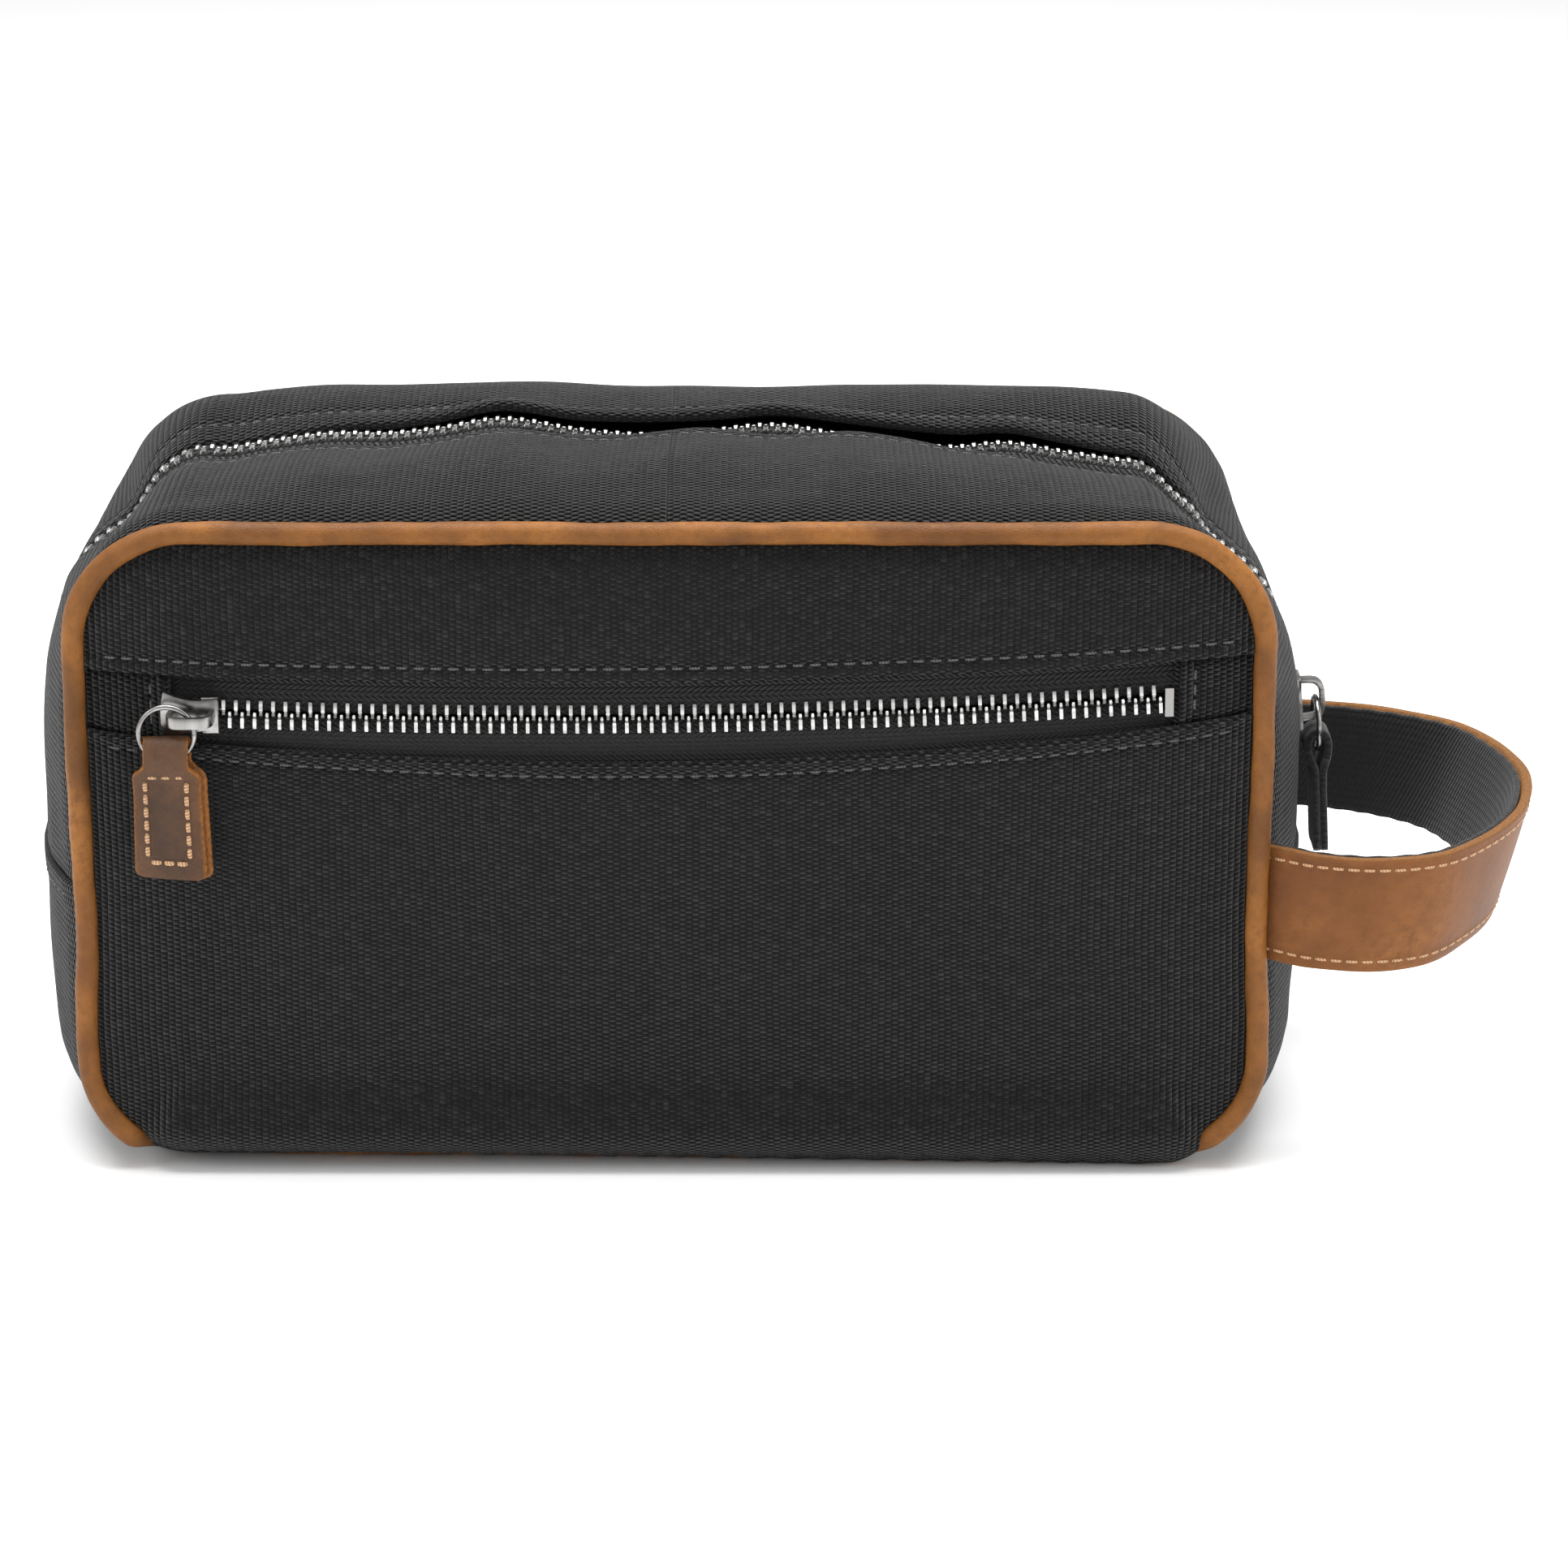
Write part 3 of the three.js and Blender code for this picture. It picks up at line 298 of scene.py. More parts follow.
# ---- Materials ----
class Look:
    """A Principled material with a few helpers for its nodes."""

    def __init__(self, name, roughness, metallic=0.0, sheen=0.0, specular=0.5):
        self.material = bpy.data.materials.new(name)
        self.material.use_nodes = True
        self.tree = self.material.node_tree
        self.shader = self.tree.nodes["Principled BSDF"]
        self.shader.inputs["Roughness"].default_value = roughness
        self.shader.inputs["Metallic"].default_value = metallic
        self.shader.inputs["Specular IOR Level"].default_value = specular
        self.shader.inputs["Sheen Weight"].default_value = sheen
        self.shader.inputs["Sheen Roughness"].default_value = 0.5

    def node(self, kind, settings=None, **inputs):
        made = self.tree.nodes.new("ShaderNode" + kind)
        for key, value in (settings or {}).items():
            setattr(made, key, value)
        for key, value in inputs.items():
            self.feed(made.inputs[key], value)
        return made

    def feed(self, socket, value):
        if isinstance(value, bpy.types.NodeSocket):
            self.tree.links.new(value, socket)
        else:
            socket.default_value = value

    def math(self, operation, a, b=0.0):
        made = self.tree.nodes.new("ShaderNodeMath")
        made.operation = operation
        self.feed(made.inputs[0], a)
        self.feed(made.inputs[1], b)
        return made.outputs[0]

    def total(self, first, *rest):
        for value in rest:
            first = self.math("ADD", first, value)
        return first

    def times(self, first, *rest):
        for value in rest:
            first = self.math("MULTIPLY", first, value)
        return first

    def ramp(self, value, low, high):
        """0 below low, 1 above high, smooth between."""
        made = self.node("MapRange", {"interpolation_type": "SMOOTHSTEP"}, Value=value)
        made.inputs["From Min"].default_value = low
        made.inputs["From Max"].default_value = high
        return made.outputs[0]

    def mix(self, share, a, b):
        made = self.tree.nodes.new("ShaderNodeMix")
        made.data_type = "RGBA"
        self.feed(made.inputs[0], share)
        for socket, value in ((made.inputs[6], a), (made.inputs[7], b)):
            self.feed(socket, value if isinstance(value, bpy.types.NodeSocket) else (*value, 1.0))
        return made.outputs[2]

    def place(self):
        return self.node("TexCoord").outputs["UV"]

    def noise(self, scale, detail=3.0, roughness=0.55, where=None, stretch=None):
        where = where or self.place()
        if stretch:
            where = self.node("Mapping", Vector=where, Scale=stretch).outputs[0]
        made = self.node("TexNoise", Vector=where, Scale=scale, Detail=detail, Roughness=roughness)
        return made.outputs[0]

    def uv(self, wobble=0.0, scale=60.0):
        """Texture place in metres as two values, pushed about a little."""
        split = self.node("SeparateXYZ", Vector=self.place())
        u, v = split.outputs[0], split.outputs[1]
        if wobble:
            shift = self.node("TexNoise", Vector=self.place(), Scale=scale, Detail=2.0)
            parts = self.node("SeparateColor", Color=shift.outputs[1])
            u = self.total(u, self.times(parts.outputs[0], wobble))
            v = self.total(v, self.times(parts.outputs[1], wobble))
        return u, v

    def arch(self, value, power):
        """0 at each whole number, 1 between them."""
        return self.math("POWER", self.math("SINE", self.times(self.math("FRACT", value), PI)), power)

    def raw(self):
        return self.node("Attribute", {"attribute_name": "raw"}).outputs["Fac"]

    def random(self, a, b):
        where = self.node("CombineXYZ", X=a, Y=b).outputs[0]
        return self.node("TexWhiteNoise", {"noise_dimensions": "2D"}, Vector=where).outputs[0]

    def bump(self, height, distance, strength=1.0):
        made = self.node("Bump", Height=height, Distance=distance, Strength=strength)
        self.feed(self.shader.inputs["Normal"], made.outputs[0])

    def colour(self, value):
        self.feed(self.shader.inputs["Base Color"], value)


def canvas_look():
    """Heavy plain weave: columns of staggered yarn bumps, a few of them paler, with painted shade in the gaps
    between the yarns.
    """
    look = Look("waxed_canvas", 0.6, sheen=0.13, specular=0.16)
    look.shader.inputs["Sheen Roughness"].default_value = 0.35
    u, v = look.uv(wobble=0.0016, scale=26)
    column = look.times(u, 1 / 0.0014)
    at = look.math("FLOOR", column)
    odd = look.times(look.math("FLOORED_MODULO", at, 2.0), 0.5)
    row = look.total(look.times(v, 1 / 0.00105), odd)
    chance = look.random(at, look.math("FLOOR", row))
    yarn = look.times(look.arch(column, 0.85), look.arch(row, 0.75))
    fibre = look.noise(5200, detail=2)
    uneven = look.total(0.55, look.times(chance, 0.45))
    look.bump(look.total(look.times(yarn, uneven), look.times(fibre, 0.12)), 0.0016)
    patch = look.noise(24, detail=4)
    ground = look.mix(look.ramp(patch, 0.3, 0.75), (0.004, 0.0039, 0.0041), (0.0075, 0.0074, 0.0075))
    # Painted shade: the gaps between the yarn bumps are coloured near black, and the yarn tops keep the
    # ground colour.
    gap_shaded_weave = look.mix(look.ramp(look.times(yarn, uneven), 0.1, 0.75), (0.0008, 0.0008, 0.0008), ground)
    fleck = look.times(look.ramp(chance, 0.9, 1.0), yarn, 0.35)
    look.colour(look.mix(fleck, gap_shaded_weave, (0.045, 0.045, 0.045)))
    return look.material


def tape_look():
    """Zip tape: fine herringbone with a soft shine, its grooves painted dark as shade."""
    look = Look("zip_tape_twill", 0.55, sheen=0.05, specular=0.4)
    u, v = look.uv()
    fold = look.math("PINGPONG", v, 0.0016)
    line = look.times(look.total(u, look.times(fold, 1.3)), 1 / 0.0014)
    twill = look.arch(line, 0.8)
    cross = look.arch(look.times(v, 1 / 0.0011), 0.7)
    height = look.times(twill, look.total(0.35, look.times(cross, 0.65)))
    look.bump(height, 0.0011)
    # Painted shade: the colour follows the twill's height, near black in the grooves and lighter on the
    # raised lines.
    look.colour(look.mix(look.ramp(height, 0.1, 0.8), (0.001, 0.001, 0.001), (0.016, 0.016, 0.0165)))
    return look.material


def lining_look():
    """Thin nylon lining, dark grey, with a fine square weave and slight creases, their troughs painted darker
    as shade.
    """
    look = Look("lining_nylon", 0.45, sheen=0.15, specular=0.45)
    u, v = look.uv()
    weave = look.times(look.arch(look.times(u, 1 / 0.0005), 0.6), look.arch(look.times(v, 1 / 0.0005), 0.6))
    crease = look.noise(55, detail=4)
    look.bump(look.total(look.times(weave, 0.1), look.times(crease, 1.2)), 0.0008)
    # Painted shade: the colour follows the crease height, darker in the troughs and lighter on the ridges.
    look.colour(look.mix(look.ramp(crease, 0.3, 0.7), (0.014, 0.014, 0.016), (0.024, 0.024, 0.027)))
    return look.material


def webbing_look():
    """Ribbed cotton webbing, painted dark between the ribs and knit loops as shade."""
    look = Look("ribbed_webbing", 0.85, sheen=0.2, specular=0.3)
    u, v = look.uv(wobble=0.0005, scale=90)
    rib = look.arch(look.times(v, 1 / 0.0017), 0.7)
    knit = look.arch(look.total(look.times(u, 1 / 0.0011), look.times(v, 1 / 0.0034)), 0.6)
    fuzz = look.noise(3600, detail=3)
    height = look.total(look.times(rib, 0.5), look.times(knit, 0.5), look.times(fuzz, 0.35))
    look.bump(height, 0.0004)
    # Painted shade: the colour follows the rib and knit height, near black in the valleys between them.
    look.colour(look.mix(look.times(rib, knit), (0.002, 0.002, 0.002), (0.012, 0.012, 0.0125)))
    return look.material


def cloth_tab_look():
    """Black cloth with a raised nap: the raised fibres are paler, and the hollows between them are painted
    darker as shade.
    """
    look = Look("napped_cloth", 0.9, sheen=0.35, specular=0.3)
    fuzz = look.noise(2600, detail=4, roughness=0.7)
    lump = look.noise(420, detail=3)
    look.bump(look.total(fuzz, look.times(lump, 0.8)), 0.0005)
    # Painted shade: the colour follows the nap's height, darker in the hollows; the raised fibres are paler
    # nap.
    look.colour(look.mix(look.ramp(fuzz, 0.35, 0.75), (0.004, 0.004, 0.004), (0.02, 0.02, 0.021)))
    return look.material


def leather_look(name, dark, middle, light, raw, roughness, marks=0.0, burnish=0.0):
    """Waxed pull-up leather: drifting tone, fine grain, burnished streaks, dark marks and a raw cut edge."""
    look = Look(name, roughness, specular=0.3)
    cloud = look.noise(34, detail=5, roughness=0.62)
    fine = look.noise(420, detail=5, roughness=0.7)
    grain = look.node("TexVoronoi", {"feature": "DISTANCE_TO_EDGE"}, Vector=look.place(), Scale=1500.0)
    pore = look.ramp(grain.outputs["Distance"], 0.0, 0.16)
    tone = look.mix(look.ramp(cloud, 0.32, 0.62), dark, middle)
    tone = look.mix(look.times(look.ramp(cloud, 0.52, 0.78), look.ramp(fine, 0.3, 0.7)), tone, light)
    tone = look.mix(look.times(look.ramp(fine, 0.55, 0.3), 0.45), tone, dark)
    if burnish:
        streak = look.noise(16, detail=4, stretch=(1.0, 3.0, 1.0))
        tone = look.mix(look.times(look.ramp(streak, 0.52, 0.68), burnish), tone, [c * 0.42 for c in dark])
    if marks:
        blot = look.noise(95, detail=2, roughness=0.35)
        tone = look.mix(look.times(look.ramp(blot, 0.6, 0.66), marks), tone, (0.045, 0.036, 0.03))
    cut = look.noise(900, detail=5, roughness=0.75)
    fibres = look.mix(look.ramp(cut, 0.3, 0.72), [c * 0.45 for c in raw], raw)
    edge = look.raw()
    look.colour(look.mix(edge, tone, fibres))
    rough_edge = look.times(look.math("SUBTRACT", cut, 0.5), edge, 2.2)
    height = look.total(look.times(pore, 0.18), look.times(fine, 0.45), rough_edge)
    look.bump(height, 0.00028)
    wear = look.node("MapRange", Value=cloud)
    wear.inputs["To Min"].default_value = roughness - 0.1
    wear.inputs["To Max"].default_value = roughness + 0.14
    look.feed(look.shader.inputs["Roughness"], wear.outputs[0])
    return look.material


def metal_look():
    """Aged nickel: brushed, a little tarnished in patches."""
    look = Look("aged_nickel", 0.3, metallic=1.0)
    where = look.node("TexCoord").outputs["UV"]
    brush = look.noise(900, detail=4, stretch=(1.0, 0.12, 1.0), where=where)
    patch = look.noise(160, detail=4)
    look.colour(look.mix(look.ramp(patch, 0.35, 0.7), (0.2, 0.195, 0.19), (0.42, 0.41, 0.4)))
    wear = look.node("MapRange", Value=patch)
    wear.inputs["To Min"].default_value = 0.16
    wear.inputs["To Max"].default_value = 0.36
    look.feed(look.shader.inputs["Roughness"], wear.outputs[0])
    look.bump(brush, 0.00004)
    return look.material


def tooth_look():
    """Bright zip teeth, duller in random patches."""
    look = Look("polished_teeth", 0.26, metallic=1.0)
    patch = look.noise(600, detail=2)
    look.colour(look.mix(look.ramp(patch, 0.3, 0.7), (0.34, 0.34, 0.33), (0.6, 0.6, 0.59)))
    look.bump(patch, 0.00005)
    return look.material


def thread_look(name, dark, light, sheen):
    """Twisted sewing thread: the crests of the twist are painted lighter as highlight and the grooves darker
    as shade.
    """
    look = Look(name, 0.6, sheen=sheen, specular=0.4)
    split = look.node("SeparateXYZ", Vector=look.place())
    turn = look.total(look.times(split.outputs[0], 1 / 0.0007), look.times(split.outputs[1], 1000.0))
    twist = look.arch(turn, 0.8)
    look.bump(twist, 0.00012)
    # Painted highlight and shade: the colour follows the twist, the dark colour in the grooves and the light
    # one on the crests.
    look.colour(look.mix(twist, dark, light))
    return look.material


CANVAS = canvas_look()
TAPE = tape_look()
LINING = lining_look()
WEBBING = webbing_look()
TAB_CLOTH = cloth_tab_look()
PIPING_LEATHER = leather_look(
    "piping_leather", (0.13, 0.045, 0.006), (0.27, 0.1, 0.016), (0.39, 0.16, 0.032),
    (0.26, 0.11, 0.03), 0.5, burnish=0.6)
STRAP_LEATHER = leather_look(
    "strap_leather", (0.13, 0.042, 0.007), (0.21, 0.073, 0.014), (0.29, 0.115, 0.027),
    (0.36, 0.15, 0.035), 0.5, burnish=0.35)
TAB_LEATHER = leather_look(
    "tab_leather", (0.042, 0.02, 0.01), (0.11, 0.05, 0.022), (0.21, 0.1, 0.045),
    (0.36, 0.13, 0.022), 0.5, marks=0.75)
NICKEL = metal_look()
TEETH = tooth_look()
# For both threads the light colour is a painted highlight on the twist crests, and the dark colour also
# carries painted shade in the grooves.
TAN_THREAD = thread_look("tan_thread", (0.24, 0.11, 0.045), (0.6, 0.37, 0.2), 0.1)
BLACK_THREAD = thread_look("black_thread", (0.006, 0.006, 0.006), (0.09, 0.09, 0.09), 0.2)


# How far the shoulders sink in beside the zip, by height.
TRIM_LEFT = [(90, 0), (97, -0.3), (106, -0.8), (115, -2.4), (123, -4), (132, -3.2), (141, 0.3), (143, 0.6)]
TRIM_RIGHT = [(90, 0), (97, -0.4), (106, -1.3), (115, -4.2), (123, -9), (132, -8), (141, -2.8), (143, -1.8)]


# ---- The outline that both panels, the piping and the gusset share ----
def flared(x, z):
    """Widens x towards the foot of the bag."""
    return x * (1 + FOOT_FLARE / HALF_W * (1 - step(z, 30, 60)))


def outline(s):
    """Place and outward normal at distances along it, anticlockwise from the middle of the floor."""
    s = np.mod(np.asarray(s, float), PERIMETER)
    left = s > HALF_ROUND
    s = np.where(left, PERIMETER - s, s)
    low = (s - FLOOR_END) / LOW_R - PI / 2
    high = (s - SIDE_END) / TOP_R
    where = [s < FLOOR_END, s < LOW_END, s < SIDE_END, s < HIGH_END]
    nx = np.select(where, [0 * s, np.cos(low), 1 + 0 * s, np.cos(high)], 0)
    nz = np.select(where, [-1 + 0 * s, np.sin(low), 0 * s, np.sin(high)], 1)
    xs = [s, LOW_CX + LOW_R * nx, HALF_W + 0 * s, HIGH_CX + TOP_R * nx]
    zs = [LOW_Z + 0 * s, LOW_CZ + LOW_R * nz, LOW_CZ + s - LOW_END, HIGH_CZ + TOP_R * nz]
    x = np.select(where, xs, HIGH_CX - s + HIGH_END)
    z = np.select(where, zs, TOP_Z)
    flip = np.where(left, -1.0, 1.0)
    return flared(x, z) * flip, z, nx * flip, nz


def inside(x, z):
    """Distance in from the outline."""
    upper = z > (LOW_CZ + HIGH_CZ) / 2
    radius = np.where(upper, TOP_R, LOW_R)
    dx = np.abs(x) - (HALF_W - radius)
    dz = np.where(upper, z - HIGH_CZ, LOW_CZ - z)
    both = np.hypot(np.maximum(dx, 0), np.maximum(dz, 0))
    return radius - np.where((dx > 0) & (dz > 0), both, np.maximum(dx, dz))


def gusset_swell(x, z, nx, nz, y):
    across = np.abs(y) / HALF_D
    fade = 1 - SIDE_FADE * ((z - SEAM_Z) / (TOP_Z / 2)) ** 2
    side = (SIDE_CROWN + LEFT_SLACK * (x < 0)) * fade * (1 - across**2.6)
    upright = np.where(nz > 0, TOP_CROWN, FLOOR_CROWN) * (1 - across**3.5)
    valley = np.where(y < 0, 1 - across**4, (1 - across**2) ** 1.5)  # steeper behind the zip
    pull = np.where(nz > 0, CORNER_PULL * (2 * nx * nz) ** 2 * valley, 0)
    trim = np.where(x < 0, knots(z, TRIM_LEFT), knots(z, TRIM_RIGHT)) * np.abs(nx) * valley
    return (side * nx**2 + upright * nz**2) * (1 - pull) + trim


def face_swell(x, z):
    across = np.minimum(np.abs(x) / HALF_W, 1)
    middle = (LOW_Z + TOP_Z) / 2
    up = np.minimum(np.abs(z - middle) / (TOP_Z - middle), 1)
    return FACE_CROWN * (1 - across**8) * (1 - up**4)


def gusset_points(s, y, lift):
    """Points on the band round the bag: s (n), y and lift (n, m)."""
    x, z, nx, nz = (np.broadcast_to(v[:, None], y.shape) for v in outline(s))
    out = gusset_swell(x, z, nx, nz, y) + lift
    return np.stack([x + nx * out, y, z + nz * out], -1)


# ---- Where the main zip wanders ----
# Along the top the chain rises and dips, and in two places the folded edges close over it.
CHAIN_LEVEL = [(-126, 0), (-119, 0), (-112, -1.6), (-106, -4.6), (-100, -6.4), (-88, -4.9), (-75, -3.3),
               (-61, -3.2), (-51, -2.1), (-38, 0), (-20, -2.5), (-7, -3.5), (8, -2.6), (22, -1.4),
               (36, -3.5), (48, -5.5), (62, -6.3), (72, -5.4), (84, -7.2), (92, -8.5), (100, -9.4),
               (107, -8.8), (112, -5.8), (116, -2.4), (120, 0), (126, 0)]
# The ridges on both sides of it sink towards the corners.
TOP_DROP = [(-126, 1.0), (-118, 1.0), (-110, -0.6), (-104, -1.8), (-90, -0.9), (-75, 0.1), (-40, 0.1),
            (0, -0.3), (40, -0.3), (60, 0), (84, -0.6), (96, -1.2), (104, -1.6), (112, -1.4),
            (120, -0.8), (126, 0)]
# The front edge over or under the chain.
FRONT_EDGE = [(-126, -1.9), (-60, -1.9), (-25, -1.4), (-12, 0.2), (-3, 1.3), (8, 1.3), (14, 0.1), (22, -1.2),
              (31, 0.1), (38, 1.4), (54, 1.4), (61, 0.1), (70, -1.6), (126, -1.9)]


# Where the rear edge rolls over the chain.
REAR_CLOSED = [(-126, 0), (-80, 0), (-45, 1), (80, 1), (108, 0.2), (126, 0)]


def rear_closed(s):
    return knots(outline(s)[0], REAR_CLOSED) * on_top(s)


def on_top(s):
    """1 along the top of the bag, 0 down its sides."""
    return step(outline(s)[3], 0.5, 0.95)


def chain_level(s):
    return knots(outline(s)[0], CHAIN_LEVEL) * on_top(s)


def edge_level(s, side):
    top = on_top(s)
    x = outline(s)[0]
    if side < 0:
        return (knots(x, CHAIN_LEVEL) + knots(x, FRONT_EDGE)) * top - 0.7 * (1 - top)
    return knots(x, CHAIN_LEVEL) * top - 0.5 + 1.25 * rear_closed(s)


def edge_place(s, side):
    """Distance of the folded canvas edge from the middle of the zip."""
    if side < 0:
        return 3.8 + waves(s, (0.15, 61, 0.4), (0.1, 23, 2.0))
    closed = rear_closed(s)
    return 3.7 - 1.3 * closed + waves(s, (0.35, 83, 1.0), (0.2, 37, 0.3)) * closed


FOLD_R = {-1: 1.0, 1: 1.25}
STITCH_IN = {-1: 3.1, 1: 4.2}  # stitch line behind the fold
TUCK_Y = 51.7  # the canvas goes into the seam beside the piping


def soft(s, y):
    return waves(s, (0.22, 97, 0.7), (0.14, 41, 2.1)) + waves(s + 1.7 * y, (0.16, 63, 1.1), (0.08, 29, 0.2))


def zip_gusset_lift(s, y, side, edge):
    """How the canvas beside the zip departs from the plain swell."""
    s = s[:, None]
    top = on_top(s)
    ay = np.abs(y)
    from_edge = ay - edge
    level = edge_level(s, side)
    share = np.maximum(from_edge, 0) / (TUCK_Y - edge)
    drop = knots(outline(s)[0], TOP_DROP) * top * step(TUCK_Y - ay, 0, 16)
    if side < 0:
        lift = np.where(top > 0, (level - drop) * (1 - share) ** 1.1, level * np.exp(-30 * share)) + drop
    else:
        lift = (level - drop) * np.exp(-np.maximum(from_edge, 0) / 8) + drop + 2.2 * top * bell(ay, 22, 15)
    lift = lift + soft(s, y) * step(TUCK_Y - ay, 1, 14)
    lift = lift - 2.2 * np.exp(-np.maximum(TUCK_Y - ay, 0) / 0.8)
    lift = lift + 0.55 * bell(ay, 46.5, 3.4)
    lift = lift + 0.22 * np.sin(2 * PI * s / 7.3 + np.sin(s / 19)) * np.exp(-np.maximum(TUCK_Y - ay, 0) / 4.5)
    groove = edge + FOLD_R[side] + STITCH_IN[side]
    lift = lift - (0.32 if side < 0 else 0.6) * bell(ay, groove, 0.8)
    roll = 1.15 * rear_closed(s) + 0.25 if side > 0 else 0.25
    lift = lift + roll * bell(ay, edge + FOLD_R[side] + 0.7, 1.7)
    # Near the side seam the canvas goes under the edge of the floor gusset.
    from_seam = np.minimum(np.abs(s - RIGHT_SEAM), np.abs(s - (PERIMETER - RIGHT_SEAM)))
    return lift - 1.3 * (1 - step(from_seam, 0.5, 3.5))


def zip_gusset_section(s, side):
    edge = edge_place(s, side)[:, None]
    radius = FOLD_R[side]
    t = np.array([0, 0.008, 0.02, 0.04, 0.065, 0.1, 0.14, 0.2, 0.28, 0.38, 0.5, 0.6, 0.7, 0.78, 0.84, 0.875,
                  0.9, 0.925, 0.95, 0.975, 1])[None]
    outer_y = TUCK_Y + (edge + radius - TUCK_Y) * t
    outer = zip_gusset_lift(s, side * outer_y, side, edge)
    angle = np.linspace(PI / 2, -PI / 2, 9)[None, 1:-1]
    fold_y = edge + radius - radius * np.cos(angle)
    fold = outer[:, -1:] - radius + radius * np.sin(angle) + 0 * edge
    inner_t = np.array([1, 0.9, 0.78, 0.6, 0.35, 0.1, 0.0])[None]
    inner_y = TUCK_Y + (edge + radius - TUCK_Y) * inner_t
    inner = zip_gusset_lift(s, side * inner_y, side, edge) - 2 * radius
    y = np.concatenate([outer_y, fold_y + 0 * edge, inner_y], 1)
    return side * y, np.concatenate([outer, fold, inner], 1)


def section_uv(s, points, scale=1.0):
    """Along the strip by s, and across it by the length of the section."""
    step_length = np.linalg.norm(np.diff(points, axis=1), axis=-1).mean(0)
    across = np.concatenate([[0], np.cumsum(step_length)])
    return np.stack(np.broadcast_arrays(s[:, None] * scale, across[None]), -1)


HALVES = {"left": (HALF_ROUND, PERIMETER - RIGHT_SEAM + 2), "right": (RIGHT_SEAM - 2, HALF_ROUND)}
SIDE_NAME = {-1: "front", 1: "rear"}


def flap_bend(hand, side):
    x = -1 if hand == "left" else 1
    return "top_flap_" + SIDE_NAME[side], (x * 0.125, 0, 0), (x * 0.07, 0, 0)


def stitches(build, line, normal, length=2.5, gap=0.75, radius=0.27, rise=0.16, sides=6):
    """A row of bowed stitches along a line that lies on a surface."""
    total = lengths(line)[-1]
    count = int((total + gap) // (length + gap))
    first = (total - count * (length + gap) + gap) / 2
    share = np.array([0, 0.1, 0.3, 0.5, 0.7, 0.9, 1])
    at = first + (length + gap) * np.arange(count)[:, None] + length * share[None]
    centre = along(line, at)
    up = unit(along(line, at, normal))
    lead = unit(along(line, at + 0.05) - along(line, at - 0.05))
    across = unit(np.cross(lead, up))
    lift = rise * np.array([-2.6, 0.2, 0.9, 1.1, 0.9, 0.2, -2.6])
    thick = radius * np.array([0.6, 0.85, 1, 1.02, 1, 0.85, 0.6])
    centre = centre + up * lift[None, :, None]
    angle = np.linspace(0, 2 * PI, sides, endpoint=False)
    points = (
        centre[:, :, None]
        + across[:, :, None] * (thick[None, :, None] * np.cos(angle))[..., None]
        + up[:, :, None] * (0.85 * thick[None, :, None] * np.sin(angle))[..., None]
    )
    return build.strands(points)


# ---- Gusset ----
def build_zip_gusset():
    for side in (-1, 1):
        for hand, (start, end) in HALVES.items():
            s = np.linspace(start, end, 190)
            y, lift = zip_gusset_section(s, side)
            points = gusset_points(s, y, lift)
            obj = Build().loft(points, section_uv(s, points)).make(f"canvas_top_{hand}_{SIDE_NAME[side]}")
            nodes = [f"side_gusset_{hand}_{SIDE_NAME[side]}"]
            if hand == "left":
                nodes.append("top_gusset_" + SIDE_NAME[side])
            finish(obj, CANVAS, flap_bend(hand, side), nodes)
            clear = 6  # of the side seam
            first, last = (start, end - clear) if hand == "left" else (start + clear, end)
            line_s = np.linspace(first, last, 260)
            edge = edge_place(line_s, side)[:, None]
            line_y = edge + FOLD_R[side] + STITCH_IN[side]
            raised = zip_gusset_lift(line_s, side * line_y, side, edge)
            base = gusset_points(line_s, side * line_y, raised)[:, 0]
            other = gusset_points(line_s, side * (line_y + 0.6), raised)[:, 0]
            up = np.cross(np.gradient(base, axis=0), other - base) * -side
            row = stitches(Build(), base, unit(up)).make(f"topstitch_top_{hand}_{SIDE_NAME[side]}")
            finish(row, BLACK_THREAD, flap_bend(hand, side))


